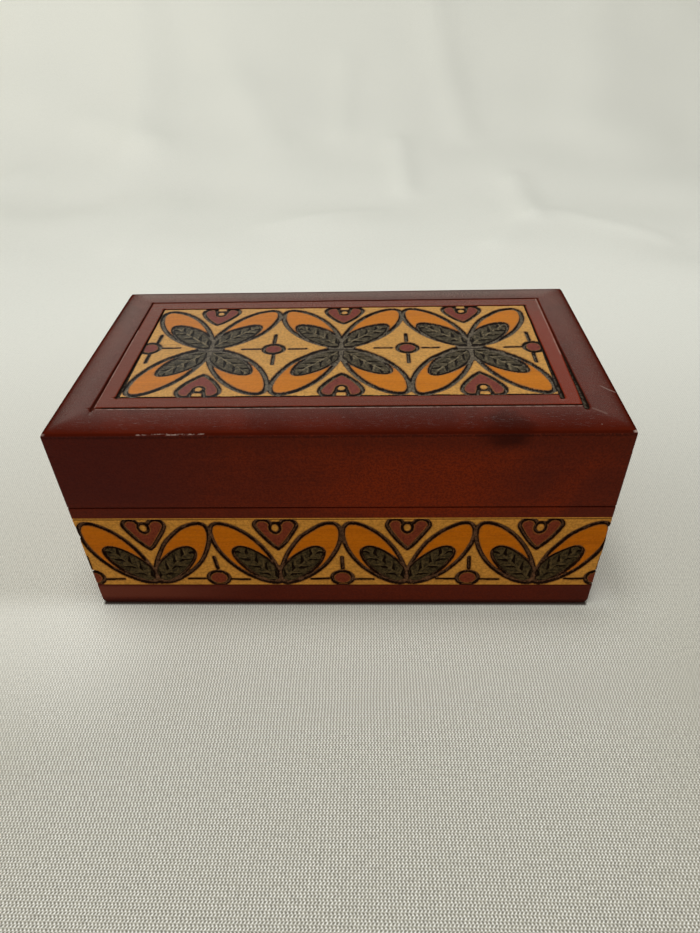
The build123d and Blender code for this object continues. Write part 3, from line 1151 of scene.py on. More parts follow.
class WoodFinish(Finish):
    """A finish on wood whose grain runs along or across the box. The grain is fine streaks, broad bands and
    short dark pores, all drawn out along the board."""

    def __init__(self, name, direction):
        super().__init__(name)
        self.run = self.x if direction == "along_box" else self.y
        self.drawn = self.stretched(self.place, GRAIN[direction])
        self.streaks = self.noise(1.3, 4.0, 0.6, 0.3, self.drawn)
        self.bands = self.noise(0.2, 2.0, 0.5, 0.6, self.drawn)
        pores = self.noise(3.5, 1.0, place=self.stretched(self.drawn, PORE_SQUEEZE, PORE_SHIFT))
        self.pores = self.rise(pores, 0.62, 0.75)

    def wooden(self, colour, rough, height, level):
        """The surface with the bump of its grain and a level of gloss."""
        height = self.sum(height, self.times(self.streaks, 0.01), self.times(self.pores, -0.012))
        return self.surface(colour, rough, height, **{"Specular IOR Level": level})


# Where the walls' colour changes: places between which a tone sets in, or a stretch's two ends and softness.
# The head, arris and foot shades are painted shade, and the plinth's pale heights at the left a painted sheen
BLOTCH_SHIFT = 90
THIN_STRETCH = (-24, 62, 28)
GLOW_STRETCH = (6, 55, 15)
GLOW_HEIGHTS = (36, 57.5, 3.5)
GLOW_SIDE = (0, -10)
HEAD_SHADE = (58.5, 62.5)
ARRIS_SHADE = (63.5, 64.0)
FOOT_SHADE = (2.5, 1.5)
LEFT_END = (-24, -60)
LEFT_END_HEIGHTS = (38, 44)
LEFT_SHEEN_HEIGHTS = (3.0, 8.0, 0.9)
PATCH_MIDDLE = (43, -41, 64.5)
PATCH_REACH = (8.5, 9.0, 6.0)


def wall_stain(finish, colours):
    """Red-brown stain on upright walls: thinner and redder past the middle, thicker at the ends, streaked
    with the grain. Painted shade darkens it towards the lid's top edge, along the arris and at the foot, and
    a painted sheen makes the plinth paler at its left end."""
    dark, thin = colours.dark_stain, colours.stain
    run = finish.sum(finish.run, finish.stray(finish.noise(0.035, 3.0, 0.55, 0.6), BLOTCH_SHIFT))
    speck = finish.noise(1.7, 5.0, 0.8)
    left = finish.rise(finish.x, *LEFT_END)
    glow = finish.times(finish.between(run, *GLOW_STRETCH), finish.between(finish.z, *GLOW_HEIGHTS))
    arris = finish.times(finish.rise(finish.z, *ARRIS_SHADE), finish.rise(speck, 0.35, 0.5))
    colour = finish.mixed(finish.between(run, *THIN_STRETCH), dark, thin)
    colour = finish.wash(colour, dark, 0.8, finish.rise(finish.streaks, 0.4, 0.7), 0.45)
    colour = finish.wash(colour, thin, 1.15, finish.rise(finish.bands, 0.5, 0.75), 0.35)
    colour = finish.wash(colour, dark, 0.4, finish.pores, 0.5)
    colour = finish.wash(colour, thin, (1.5, 1.3, 0.65), glow, finish.rise(finish.y, *GLOW_SIDE), 0.85)
    # Painted shade: darker towards the lid's top edge
    colour = finish.wash(colour, dark, 0.75, finish.rise(finish.z, *HEAD_SHADE), 0.55)
    colour = finish.wash(colour, thin, (1.7, 1.7, 1.2), 0.22)
    colour = finish.wash(colour, dark, 0.65, finish.rise(speck, 0.42, 0.6), 0.55)
    colour = finish.wash(colour, dark, (0.55, 0.65, 1.3), left, finish.rise(finish.z, *LEFT_END_HEIGHTS), 0.4)
    # Painted shade: a dark broken line along the arris
    colour = finish.wash(colour, dark, 0.35, arris, 0.6)
    # Painted shade: darker at the foot, where the wall turns under
    colour = finish.wash(colour, dark, 0.3, finish.rise(finish.z, *FOOT_SHADE), 0.72)
    # Painted sheen: the plinth paler at its left end
    colour = finish.wash(colour, thin, (1.4, 2.6, 4.6), left, finish.between(finish.z, *LEFT_SHEEN_HEIGHTS), 0.85)
    return finish.wash(colour, dark, 0.3, stain_patch(finish))


def stain_patch(finish):
    """A dark patch of soaked stain on the front arris, right of the middle: a soft ball with a ragged rim."""
    places = (finish.x, finish.y, finish.z)
    offsets = [finish.sum(place, -middle) for place, middle in zip(places, PATCH_MIDDLE)]
    squares = [finish.times(offset, offset, 1 / reach**2) for offset, reach in zip(offsets, PATCH_REACH)]
    ragged = finish.times(finish.noise(0.22, 3.0, 0.6), 1.1)
    return finish.times(finish.rise(finish.sum(*squares, ragged), 1.5, 0.55), 0.75)


# How far beyond the inner faces the bare wood begins, and how softly
LINING_GAP = 0.06
LINING_SOFTNESS = 0.02


def lining_plan(finish):
    """1 between the walls, seen from above."""
    inner_x, inner_y = half_length - wall + LINING_GAP, half_width - wall + LINING_GAP
    return finish.box_share(inner_x, inner_y, LINING_SOFTNESS)


def lining(finish):
    """1 on the faces that line the box: between the walls, above the bottom and below the lid's top."""
    heights = floor_high[2] - LINING_GAP, top_underside + LINING_GAP
    return finish.times(lining_plan(finish), finish.between(finish.z, *heights, LINING_SOFTNESS))


def bare_colour(finish, colours):
    """Sanded bare wood with faint streaks."""
    bare = colours.bare
    colour = finish.wash(bare, bare, 0.72, finish.rise(finish.streaks, 0.35, 0.7))
    colour = finish.wash(colour, bare, 0.72, finish.rise(finish.bands, 0.4, 0.7), 0.35)
    return finish.wash(colour, bare, 0.5, finish.pores, 0.35)


def painted_pattern(finish, colours, tints, light, char_reach):
    """Colour, height and roughness of the carved pattern: varnished ground, orange petals, dark leaves, red
    hearts and dots, and grooves burnt black along their edges up to the char's reach. Paint edges waver by
    a little noise. Each tint multiplies the colour of its name, and light is the strength of the highlight
    painted on the leaves' midribs and ridges."""
    waver = finish.stray(finish.noise(1.6, 3.0), 0.24)
    groove_mark, petal_mark, leaf_mark, red_mark = [
        finish.sum(finish.mark(name), waver) for name in ("groove", "petal", "leaf", "red")
    ]
    ground_tone, orange_tone, leaf_tone, red_tone, scorch, char = [
        shaded(getattr(colours, name), tints.get(name, 1.0))
        for name in ("ground", "orange", "leaf", "red", "scorch", "char")
    ]
    fine = finish.noise(6.0, 3.0, 0.65)
    speck = finish.noise(1.3, 5.0, 0.8)
    rough_cut = finish.noise(0.9, 4.0, 0.7, 0.5)
    dots = finish.rise(speck, 0.45, 0.58)
    streaked = finish.rise(finish.streaks, 0.38, 0.68)
    in_red = finish.rise(red_mark, 0.95, 1.08)
    on_leaf = finish.rise(leaf_mark, 0.95, 1.05)
    in_groove = finish.rise(groove_mark, 0.96, 1.06)

    ground = finish.wash(shaded(ground_tone, 1.25), ground_tone, 0.88, streaked, 0.5)
    ground = finish.wash(ground, ground_tone, 0.6, dots, 0.6)
    ground = finish.wash(ground, ground_tone, 0.4, finish.pores, 0.4)
    orange = finish.wash(shaded(orange_tone, 1.16), orange_tone, 0.74, streaked, 0.5)
    orange = finish.wash(orange, orange_tone, 0.62, dots, 0.4)
    orange = finish.wash(orange, orange_tone, (1.2, 1.3, 1.2), finish.rise(finish.bands, 0.35, 0.7), 0.4)

    chip, edge = leaf_chips(finish, light)
    leaf = finish.wash(shaded(leaf_tone, 0.5), leaf_tone, 1.8, finish.rise(rough_cut, 0.4, 0.6))
    leaf = finish.wash(leaf, leaf_tone, 0.6, dots, 0.5)
    # Painted highlight: the leaves' midribs and the ridges beside their chips made lighter
    leaf = finish.wash(leaf, leaf_tone, 3.6, edge, 0.85)
    leaf = finish.wash(leaf, char, 0.6, chip, 0.95)
    red = finish.wash(shaded(red_tone, 1.1), red_tone, 0.6, finish.rise(speck, 0.4, 0.68))
    red = finish.wash(red, red_tone, 1.7, finish.rise(fine, 0.62, 0.75), 0.4)

    uneven = finish.stray(finish.noise(0.4, 3.0, 0.6), 0.9)
    floor = finish.wash(shaded(scorch, 1.25), scorch, 0.4, finish.rise(speck, 0.38, 0.62))
    charred = finish.rise(finish.sum(groove_mark, uneven), char_reach - 0.1, char_reach + 0.12)
    groove = finish.mixed(charred, char, floor)
    halo = finish.rise(finish.sum(groove_mark, finish.times(uneven, 0.5)), 0.5, 1.02)
    burr = finish.times(finish.between(groove_mark, 0.74, 0.93, 0.06), finish.rise(fine, 0.5, 0.6))

    paint = finish.mixed(finish.rise(petal_mark, 0.95, 1.1), ground, orange)
    paint = finish.mixed(in_red, paint, red)
    paint = finish.wash(paint, ground_tone, (0.34, 0.26, 0.42), halo, 0.7)
    paint = finish.wash(paint, ground_tone, 0.9, burr, 0.6)
    paint = finish.mixed(on_leaf, paint, leaf)
    paint = finish.mixed(in_groove, paint, groove)

    matte = finish.larger(finish.larger(in_red, on_leaf), in_groove)
    ripples = finish.times(in_groove, finish.noise(1.9, 2.0), 0.16)
    height = finish.sum(finish.times(matte, speck, 0.2), ripples, finish.times(finish.streaks, 0.02))
    in_leaf = finish.times(on_leaf, finish.rise(in_groove, 1.0, 0.0))
    cuts = finish.sum(finish.times(chip, -0.3), finish.times(edge, 0.14), finish.times(rough_cut, 0.5))
    return paint, finish.sum(height, finish.times(in_leaf, cuts)), matte


def leaf_chips(finish, light):
    """Where a leaf's point is cut by a chip, and where a highlight is painted on it. The chips leave the
    midrib at 45 degrees, wide at the midrib and pointed outwards. The painted highlight lies on the midrib
    between the chips and on a strip along the outer side of each chip, as strong as the light's share."""
    along, across = finish.mark("leaf_along"), finish.mark("leaf_across")
    waver = finish.stray(finish.noise(0.5, 3.0, 0.6), 2.0)
    off = finish.size_of(finish.sum(across, finish.times(waver, 0.18)))
    side = finish.times(finish.rise(across, -0.01, 0.01), 0.5)
    run = finish.sum(along, finish.times(off, -1.0), waver)
    turns = finish.sum(finish.times(run, 1 / CHIP_SPACING), side)
    phase = finish.sum(finish.math("FRACT", finish.sum(turns, 0.5)), -0.5)
    ragged = finish.stray(finish.noise(2.0, 2.0), 0.08)
    width = finish.times(finish.rise(off, CHIP_REACH, 0.0), CHIP_HALF_WIDTH)
    inside = finish.rise(finish.sum(width, finish.times(finish.size_of(phase), -1.0), ragged), 0.0, 0.04)
    chip = finish.times(inside, finish.rise(off, 0.22, 0.4), finish.rise(off, CHIP_REACH, 2.8))
    midrib = finish.times(finish.rise(off, 0.5, 0.15), finish.between(along, 2.0, 17.5, 1.0), light)
    strip = finish.times(finish.between(phase, 0.18, 0.32, 0.06), finish.rise(off, 3.4, 1.2))
    shine = finish.larger(midrib, finish.times(strip, 0.5 + 0.4 * light))
    return chip, finish.times(shine, finish.rise(finish.noise(0.8, 2.0), 0.38, 0.58))


def gouged_lines(finish, colours):
    """Where the lid's face lies in a line of its frame, and the line's colour: charred walls, brown bed."""
    lines = finish.sum(finish.mark("line"), finish.stray(finish.noise(2.2, 4.0, 0.75), 0.3))
    bed = finish.wash(colours.char, colours.scorch, 0.5, finish.rise(finish.noise(1.4, 2.0), 0.42, 0.6))
    return finish.rise(lines, 0.97, 1.06), finish.mixed(finish.rise(lines, 1.25, 1.5), colours.char, bed)


# The seam along each flower's middle, and where a faint pale sheen is painted towards the panel's left, a
# painted reflection
SEAM_REACH = 4.5
SEAM_HALF_WIDTH = 0.26
PANEL_SHEEN_END = (12, -50)
PANEL_SHEEN = (0.9, 0.95, 1.0)


def lid_panel_finish(colours):
    """The lid's carved panel."""
    finish = WoodFinish("lid_panel", "along_box")
    paint, height, matte = painted_pattern(finish, colours, {}, 1.0, 1.3)
    for flower in FLOWERS:
        ends = [(flower["middle"] + reach, PINCH_MIDDLE) for reach in (-SEAM_REACH, SEAM_REACH)]
        seam = finish.streak(*ends, SEAM_HALF_WIDTH, 0.12)
        paint = finish.mixed(finish.times(seam, 0.9), paint, colours.char)
    # Painted reflection: a faint pale sheen towards the panel's left
    paint = finish.mixed(finish.times(finish.rise(finish.x, *PANEL_SHEEN_END), 0.022), paint, PANEL_SHEEN)
    in_line, line_colour = gouged_lines(finish, colours)
    fine = finish.noise(5.0, 3.0, 0.6)
    rough = finish.sum(finish.times(finish.larger(matte, in_line), 0.35), finish.times(fine, 0.16), 0.32)
    return finish.wooden(finish.mixed(in_line, paint, line_colour), rough, height, 0.16)


# On the lid, where the frame is redder and where its gouged lines are faint, each as the places along X and
# along Y between which it sets in; where the rear of the border is duller; and the dust's size and colour
REDDER_FRAME = ((50, 61), (30, 12))
FAINT_LINES = (((-61.5, -62.5), (16, 0)), ((61.5, 62.5), (-14, 4)))
DULL_REAR = (28, 40)
DUST_CELLS = 0.16
DUST_SIZE = (0.035, 0.015)
DUST = (0.5, 0.42, 0.36)


def lid_inset(finish, inset, soft):
    """1 further in from the lid's edges than an inset."""
    return finish.box_share(half_length - inset, half_width - inset, soft)


def lid_border_finish(colours):
    """The lid's frame with its gouged lines, and the rolled border with scratches, rubbed arrises with
    painted highlights, painted shade darkening it towards its edges, and a few pale specks."""
    finish = WoodFinish("lid_border", "along_box")
    border, frame_stain = colours.border, colours.frame_stain
    blotches = finish.rise(finish.noise(0.05, 3.0, 0.55, 0.6), 0.3, 0.7)
    speck = finish.noise(2.2, 4.0, 0.75)
    arris = finish.rise(lid_inset(finish, 0.9, 0.3), 1.0, 0.0)
    painted_edge_shade = finish.rise(lid_inset(finish, 3.0, 2.0), 1.0, 0.0)
    stain = finish.wash(shaded(border, 0.85), border, 1.3, blotches)
    stain = finish.wash(stain, border, 0.6, finish.rise(finish.streaks, 0.4, 0.75), 0.3)
    framed = finish.wash(frame_stain, frame_stain, 0.75, finish.rise(finish.streaks, 0.35, 0.75))
    framed = finish.wash(framed, frame_stain, (1.5, 1.0, 0.6), finish.area(*REDDER_FRAME), 0.6)
    stain = finish.mixed(finish.box_share(frame_x, frame_y, 0.1), stain, framed)
    stain = finish.wash(stain, border, 0.6, finish.rise(speck, 0.5, 0.8), 0.35)
    stain = finish.wash(stain, border, 0.3, stain_patch(finish))
    # Painted shade: the border darker towards its edges, and a dark broken line along the arris
    stain = finish.wash(stain, border, 0.5, painted_edge_shade, 0.3)
    stain = finish.wash(stain, border, 0.5, arris, finish.rise(speck, 0.3, 0.45), 0.7)
    # Rubbed bare wood with painted highlights on the arris, corners and front line, a scratch and a crease
    stain = finish.wash(stain, colours.ground, (0.8, 1.15, 4.2), wear_and_highlights(finish))
    in_line, line_colour = gouged_lines(finish, colours)
    faint = finish.sum(*(finish.area(*ends) for ends in FAINT_LINES))
    colour = finish.mixed(finish.times(in_line, finish.less(faint, 0.5)), stain, line_colour)
    colour = finish.mixed(dust_specks(finish), colour, DUST)
    rough = finish.sum(finish.times(in_line, 0.6), finish.times(finish.noise(5.0, 3.0, 0.6), 0.14), 0.2)
    near_line = finish.rise(finish.mark("line"), 0.55, 0.85)
    polished = finish.times(lid_inset(finish, 4.2, 3.6), finish.less(finish.rise(finish.y, *DULL_REAR), 0.35))
    polished = finish.times(polished, finish.less(near_line, 0.95))
    dull = finish.times(lid_inset(finish, 1.9, 0.9), finish.less(near_line, 1.0))
    level = finish.sum(finish.times(polished, 0.44), finish.times(dull, 0.05))
    return finish.wooden(colour, rough, finish.times(speck, 0.014), level)


def dust_specks(finish):
    """Half a share on small round specks: the middles of some cells, chosen by the cells' random tones."""
    cells = finish.add("ShaderNodeTexVoronoi", {"Vector": finish.place, "Scale": DUST_CELLS})
    tone = finish.add("ShaderNodeSeparateColor", {0: cells.outputs["Color"]}).outputs[0]
    return finish.times(finish.rise(cells.outputs["Distance"], *DUST_SIZE), finish.rise(tone, 0.55, 0.6), 0.5)


# Pale places of the lid, each as two ends, half width and softness: two stretches of the front arris, rubbed
# to bare wood and painted paler as a highlight, a scratch of two runs and a crease on the right border, and
# lines beside the gouged ones, bare wood at the sides and a painted highlight on the front line's lip
arris_y = -half_width + 0.35
ARRIS_WEAR_AND_HIGHLIGHT = (
    ((-50.2, arris_y), (-42.3, arris_y + 0.3), 0.1, 0.18),
    ((-42.5, arris_y), (-33.0, arris_y + 0.2), 0.13, 0.2),
)
SCRATCH = (((70.8, -22.1), (72.6, -23.5), 0.18, 0.16), ((72.4, -23.4), (74.3, -24.3), 0.22, 0.16))
CREASE = ((65.6, -33.4), (68.8, -35.8), 0.3, 0.3)
LINE_WEAR_AND_HIGHLIGHT = (
    ((frame_x - 0.52, frame_y), (frame_x - 0.62, -6.0), 0.16, 0.12),
    ((-frame_x + 0.42, 12.0), (-frame_x + 0.55, -frame_y), 0.14, 0.12),
    ((-frame_x + 1.0, -frame_y - 0.6), (frame_x - 1.0, -frame_y - 0.58), 0.17, 0.12),
)
PALE_MARK_LEVELS = (box_top - 2.2, box_top - 1.9)


def wear_and_highlights(finish):
    """Places on the lid made pale: a stretch of the front arris, rubbed to bare wood and painted paler as a
    highlight, the front corners, chipped and given a painted glint, a scratch on the right border, and thin
    lines beside the gouged ones, rubbed bare at the sides and a painted highlight along the front one."""
    patchy = finish.noise(1.3, 3.0, 0.7, place=finish.stretched(finish.place, (0.6, 1.0, 1.0)))
    ragged = finish.rise(patchy, 0.4, 0.55)
    pale_marks = finish.larger(*(finish.times(finish.streak(*place), ragged) for place in ARRIS_WEAR_AND_HIGHLIGHT))
    pale_marks = finish.times(pale_marks, 0.75)
    # Each front corner: a chip with a painted glint, strongest on the right
    for corner in (-1, 1):
        corner_chip_and_glint = (corner * (half_length - 1.1), arris_y), (corner * (half_length - 0.3), arris_y + 0.3)
        pale_marks = finish.larger(pale_marks, finish.times(finish.streak(*corner_chip_and_glint, 0.45, 0.15), 0.7 + 0.3 * corner))
    scratch = finish.times(finish.larger(*(finish.streak(*place) for place in SCRATCH)), 0.5)
    pale_marks = finish.larger(pale_marks, finish.larger(scratch, finish.times(finish.streak(*CREASE), 0.2)))
    broken = finish.sum(0.4, finish.times(ragged, 0.6))
    for place in LINE_WEAR_AND_HIGHLIGHT:
        pale_marks = finish.larger(pale_marks, finish.times(finish.streak(*place), broken, 0.6))
    return finish.times(pale_marks, finish.rise(finish.z, *PALE_MARK_LEVELS))


# The walls' paints against the lid's, tinted darker and yellower as painted shade for the upright walls,
# which take less light and none of the lid's grey sheen; where the stain is lighter below the rim, and what
# the scored lines and the frieze cover, as stretches round their edges
WALL_SHADE_TINTS = {
    "ground": (0.98, 0.84, 0.56),
    "orange": (0.95, 0.80, 0.36),
    "leaf": (0.80, 0.65, 0.42),
    "red": (0.93, 0.77, 0.42),
    "scorch": (0.93, 0.53, 0.36),
    "char": (1.2, 0.75, 0.42),
}
RIM_LIGHT = (33, 34)
FRIEZE_STRETCH = (frieze_foot + 0.1, frieze_head + 0.65, 0.1)
SCORED_STRETCHES = (
    (frieze_foot - 0.1, frieze_foot + 0.12, 0.1),
    (frieze_head - 0.14, frieze_head + 0.14, 0.1),
)


def carved_wall_finish(name, direction, colours):
    """A body wall: the frieze, its paints tinted darker and yellower than the lid's as painted shade, between
    stained bands, scored lines, and bare wood inside."""
    finish = WoodFinish(name, direction)
    # The wall tints paint shade on the frieze, and its leaves take a weaker painted highlight
    paint, height, matte = painted_pattern(finish, colours, WALL_SHADE_TINTS, 0.3, 1.32)
    shade = finish.sum(finish.times(finish.rise(finish.z, *RIM_LIGHT), -0.24), 0.3)
    stain = finish.wash(wall_stain(finish, colours), colours.dark_stain, 0.6, shade)
    frieze = finish.between(finish.z, *FRIEZE_STRETCH)
    colour = finish.mixed(frieze, stain, paint)
    scored = finish.larger(*(finish.between(finish.z, *ends) for ends in SCORED_STRETCHES))
    broken = finish.rise(finish.noise(1.2, 2.0, place=finish.drawn), 0.3, 0.5)
    clear = finish.rise(finish.mark("groove"), 1.0, 0.9)
    colour = finish.wash(colour, colours.char, 1.6, scored, broken, clear, 0.8)
    inside = lining(finish)
    colour = finish.mixed(inside, colour, bare_colour(finish, colours))
    fine = finish.times(finish.noise(5.0, 3.0, 0.6), 0.15)
    rough = finish.sum(finish.times(matte, frieze, 0.25), fine, finish.times(inside, 0.3), 0.27)
    return finish.wooden(colour, rough, finish.times(frieze, height), 0.03)


# The heights just above the lid board's underside between which its stain begins
UNDERSIDE_LEVELS = (top_underside + 0.03, top_underside + 0.01)


def stained_finish(name, direction, colours):
    """Stained wood outside, bare wood on the faces that line the box. It is made once."""
    if name in bpy.data.materials:
        return bpy.data.materials[name]
    finish = WoodFinish(name, direction)
    inside = finish.larger(lining(finish), finish.rise(finish.z, *UNDERSIDE_LEVELS))
    inside = finish.times(inside, lining_plan(finish))
    colour = finish.mixed(inside, wall_stain(finish, colours), bare_colour(finish, colours))
    fine = finish.noise(5.0, 3.0, 0.6)
    rough = finish.sum(finish.times(fine, 0.15), finish.times(inside, 0.3), 0.27)
    return finish.wooden(colour, rough, finish.times(fine, 0.004), 0.03)


def stained_walls(colours):
    """The two stained finishes: for walls whose grain runs along the box, and across it."""
    long_finish = stained_finish("stained_long_wall", "along_box", colours)
    return long_finish, stained_finish("stained_end_wall", "across_box", colours)


def bare_finish(name, direction, colours):
    """The bottom board: bare sanded wood."""
    finish = WoodFinish(name, direction)
    streaks = finish.noise(1.1, 4.0, place=finish.drawn)
    rough = finish.sum(finish.times(streaks, 0.15), 0.55)
    level = {"Specular IOR Level": 0.3}
    return finish.surface(bare_colour(finish, colours), rough, finish.times(streaks, 0.02), **level)


BRUSHED = (0.08, 1.0, 1.0)
TURNED = (1.0, 1.0, 0.3)


def brass_finish(name, colours, squeeze):
    """Brass with brushed streaks along the hinge or turned marks on a screw, duller in patches."""
    finish = Finish(name)
    lines = finish.noise(9.0, 2.0, place=finish.stretched(finish.place, squeeze))
    patches = finish.noise(0.5, 3.0, 0.6)
    colour = finish.wash(colours.brass, colours.brass, 0.45, finish.rise(patches, 0.45, 0.75), 0.7)
    rough = finish.sum(finish.times(patches, 0.25), finish.times(lines, 0.15), 0.14)
    return finish.surface(colour, rough, finish.times(lines, 0.006), Metallic=1.0)


# Operators, one for each piece or group of like pieces and one for the stage
def settings():
    """The three groups of properties."""
    scene = bpy.context.scene
    return scene.trinket_sizes, scene.trinket_colours, scene.trinket_studio


def dress(node, material):
    """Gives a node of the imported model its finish."""
    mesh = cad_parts[node].data
    mesh.materials.clear()
    mesh.materials.append(material)


def stand_for(piece, body, node):
    """Lets a piece ride on its body in the place of a node."""
    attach(piece, body)
    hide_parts(node)


class LidTopOperator(bpy.types.Operator):
    """Carve and paint the lid's top board"""

    bl_idname = "trinket.lid_top"
    bl_label = "Lid top"

    def execute(self, context):
        sizes, colours, _ = settings()
        finishes = [lid_border_finish(colours), *stained_walls(colours), lid_panel_finish(colours)]
        piece = lid_top(finishes, sizes)
        stand_for(piece, "lid", "lid_top_board")
        return {"FINISHED"}


class BodyWallsOperator(bpy.types.Operator):
    """Carve and paint the body's four walls"""

    bl_idname = "trinket.body_walls"
    bl_label = "Body walls"

    def execute(self, context):
        sizes, colours, _ = settings()
        long_finish = carved_wall_finish("carved_long_wall", "along_box", colours)
        end_finish = carved_wall_finish("carved_end_wall", "across_box", colours)
        for side in SIDES:
            finish = long_finish if side in ("front", "back") else end_finish
            piece = carved_wall(side, finish, sizes)
            if side == "back":
                cut_mortises(piece)
            stand_for(piece, "body", f"body_{side}_wall")
        return {"FINISHED"}


# The hinges' mortises: room round the barrel, the seat's depth below the rim, and room beside the leaf
BARREL_ROOM = 0.2
SEAT_DEPTH = 0.8
SEAT_ROOM = 0.08


def cut_mortises(piece):
    """Cuts the rooms for the hinges into the back wall's rim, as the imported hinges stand."""
    for side in ("left", "right"):
        leaf_low, leaf_high = edges(f"hinge_{side}_body_leaf")
        pin_low, pin_high = edges(f"hinge_{side}_pin")
        axis = (pin_low + pin_high)[1:] / 2
        radius = leaf_high[1] - axis[0] + BARREL_ROOM
        turn = np.linspace(0, 2 * np.pi, 40, endpoint=False)
        barrel = axis + radius * np.stack([np.cos(turn), np.sin(turn)], 1)
        cut(piece, bar_along_x(barrel, pin_low[0] - BARREL_ROOM, pin_high[0] + BARREL_ROOM))
        floor, above = body_rim - SEAT_DEPTH, body_rim + 1
        seat = np.array([(leaf_low[1], floor), (axis[0], floor), (axis[0], above), (leaf_low[1], above)])
        cut(piece, bar_along_x(seat, leaf_low[0] - SEAT_ROOM, leaf_high[0] + SEAT_ROOM))


def bar_along_x(section, low, high):
    """A closed bar whose section is a ring of (y, z) points, from low to high along X."""
    count = len(section)
    points = np.concatenate([np.column_stack([np.full(count, x), section]) for x in (low, high)])
    ring = np.arange(count)
    after = np.roll(ring, -1)
    quads = np.stack([ring, after, after + count, ring + count], 1)
    mesh = bpy.data.meshes.new("cutter")
    faces = [*quads.tolist(), ring[::-1].tolist(), (ring + count).tolist()]
    mesh.from_pydata((points * MM).tolist(), [], faces)
    cutter = bpy.data.objects.new("cutter", mesh)
    bpy.context.scene.collection.objects.link(cutter)
    return cutter


def cut(piece, cutter):
    """Takes one bar out of a piece and applies the result."""
    modifier = piece.modifiers.new("cut", "BOOLEAN")
    modifier.operation = "DIFFERENCE"
    modifier.solver = "EXACT"
    modifier.object = cutter
    bpy.context.view_layer.update()
    evaluated = piece.evaluated_get(bpy.context.evaluated_depsgraph_get())
    mesh = bpy.data.meshes.new_from_object(evaluated)
    piece.modifiers.clear()
    piece.data = mesh
    bpy.data.objects.remove(cutter)


class PlainBoardsOperator(bpy.types.Operator):
    """Stain the lid's walls and finish the bottom board"""

    bl_idname = "trinket.plain_boards"
    bl_label = "Plain boards"

    def execute(self, context):
        _, colours, _ = settings()
        long_finish, end_finish = stained_walls(colours)
        for side in SIDES:
            dress(f"lid_{side}_wall", long_finish if side in ("front", "back") else end_finish)
        dress("bottom_board", bare_finish("bare_bottom", "along_box", colours))
        return {"FINISHED"}


class HingesOperator(bpy.types.Operator):
    """Give the hinges and their screws a brass finish"""

    bl_idname = "trinket.hinges"
    bl_label = "Hinges and screws"

    def execute(self, context):
        _, colours, _ = settings()
        leaf_finish = brass_finish("hinge_brass", colours, BRUSHED)
        screw_finish = brass_finish("screw_brass", colours, TURNED)
        for side in ("left", "right"):
            for part in ("body_leaf", "lid_leaf", "pin"):
                dress(f"hinge_{side}_{part}", leaf_finish)
        for part in ("body", "lid"):
            dress(f"hinge_screws_{part}", screw_finish)
        return {"FINISHED"}


# The stage: the camera stands where the photograph was taken from
CAMERA_PLACE = (8.745, -176.34, 161.94)
CAMERA_YAW = 2.234
CAMERA_PITCH = 38.74
CAMERA_ROLL = 1.69
CAMERA_LENS = 25.625


def add_camera():
    """A camera that looks along its yaw to the left and its pitch below the horizon, then rolled."""
    data = bpy.data.cameras.new("camera")
    data.lens = CAMERA_LENS
    data.sensor_width = 36.0
    data.clip_start = 0.01
    camera = bpy.data.objects.new("camera", data)
    bpy.context.scene.collection.objects.link(camera)
    yaw = Matrix.Rotation(math.radians(CAMERA_YAW), 4, "Z")
    pitch = Matrix.Rotation(math.radians(90 - CAMERA_PITCH), 4, "X")
    roll = Matrix.Rotation(math.radians(-CAMERA_ROLL), 4, "Z")
    camera.matrix_world = Matrix.Translation([c * MM for c in CAMERA_PLACE]) @ yaw @ pitch @ roll
    bpy.context.scene.camera = camera


# The cloth's folds: their ends as (x, place along the cloth), half width and height
FOLDS = (
    ((-206, 650), (-188, 452), 24, 7.0),
    ((-320, 640), (-300, 520), 26, 4.0),
    ((66, 600), (90, 462), 16, 4.0),
    ((35, 440), (38, 372), 10, 3.2),
    ((124, 380), (128, 312), 12, 3.4),
    ((126, 312), (92, 258), 9, 1.6),
    ((146, 318), (204, 268), 9, 1.4),
    ((-240, 480), (-176, 442), 16, 2.6),
    ((-128, 560), (-74, 446), 18, 3.0),
    ((-286, 405), (-330, 352), 14, 2.4),
    ((-12, 540), (-16, 462), 14, 3.0),
    ((-158, 262), (-142, 345), 12, 1.2),
    ((10, 330), (-62, 300), 8, 1.0),
    ((230, 640), (196, 470), 30, 4.5),
)

# The cloth in section: a run that starts in front and is finer near the box, a quarter circle and a rise
CLOTH_FRONT = -2400
CLOTH_FINE_FRONT = -500
CLOTH_DEPTH = 330.0
CLOTH_BEND = 300.0
CLOTH_HEIGHT = 340.0
CLOTH_COLUMNS = ((0, 0), (400, 5), (2400.0, 90))


def folds(x, y):
    """Height of the cloth's folds: each is a ridge with a bell-shaped section round a straight line, over
    long low waves that fade out round the box."""
    rng = np.random.default_rng(3)
    height = np.zeros(x.shape)
    for _ in range(12):
        turn, length, phase = rng.uniform(0, np.pi), rng.uniform(60, 240), rng.uniform(0, 2 * np.pi)
        height += 0.005 * length * np.sin(2 * np.pi * (x * np.cos(turn) + y * np.sin(turn)) / length + phase)
    clear = np.clip((np.hypot(x / 1.3, y - 20) - 110) / 220, 0, 1)
    height *= clear * clear * (3 - 2 * clear)
    for start, end, width, ridge in FOLDS:
        start, end = np.array([start, end], float)
        run = end - start
        share = np.clip(((x - start[0]) * run[0] + (y - start[1]) * run[1]) / (run @ run), 0, 1)
        off = np.hypot(x - start[0] - share * run[0], y - start[1] - share * run[1])
        height += ridge * np.exp(-((off / width) ** 2))
    return height


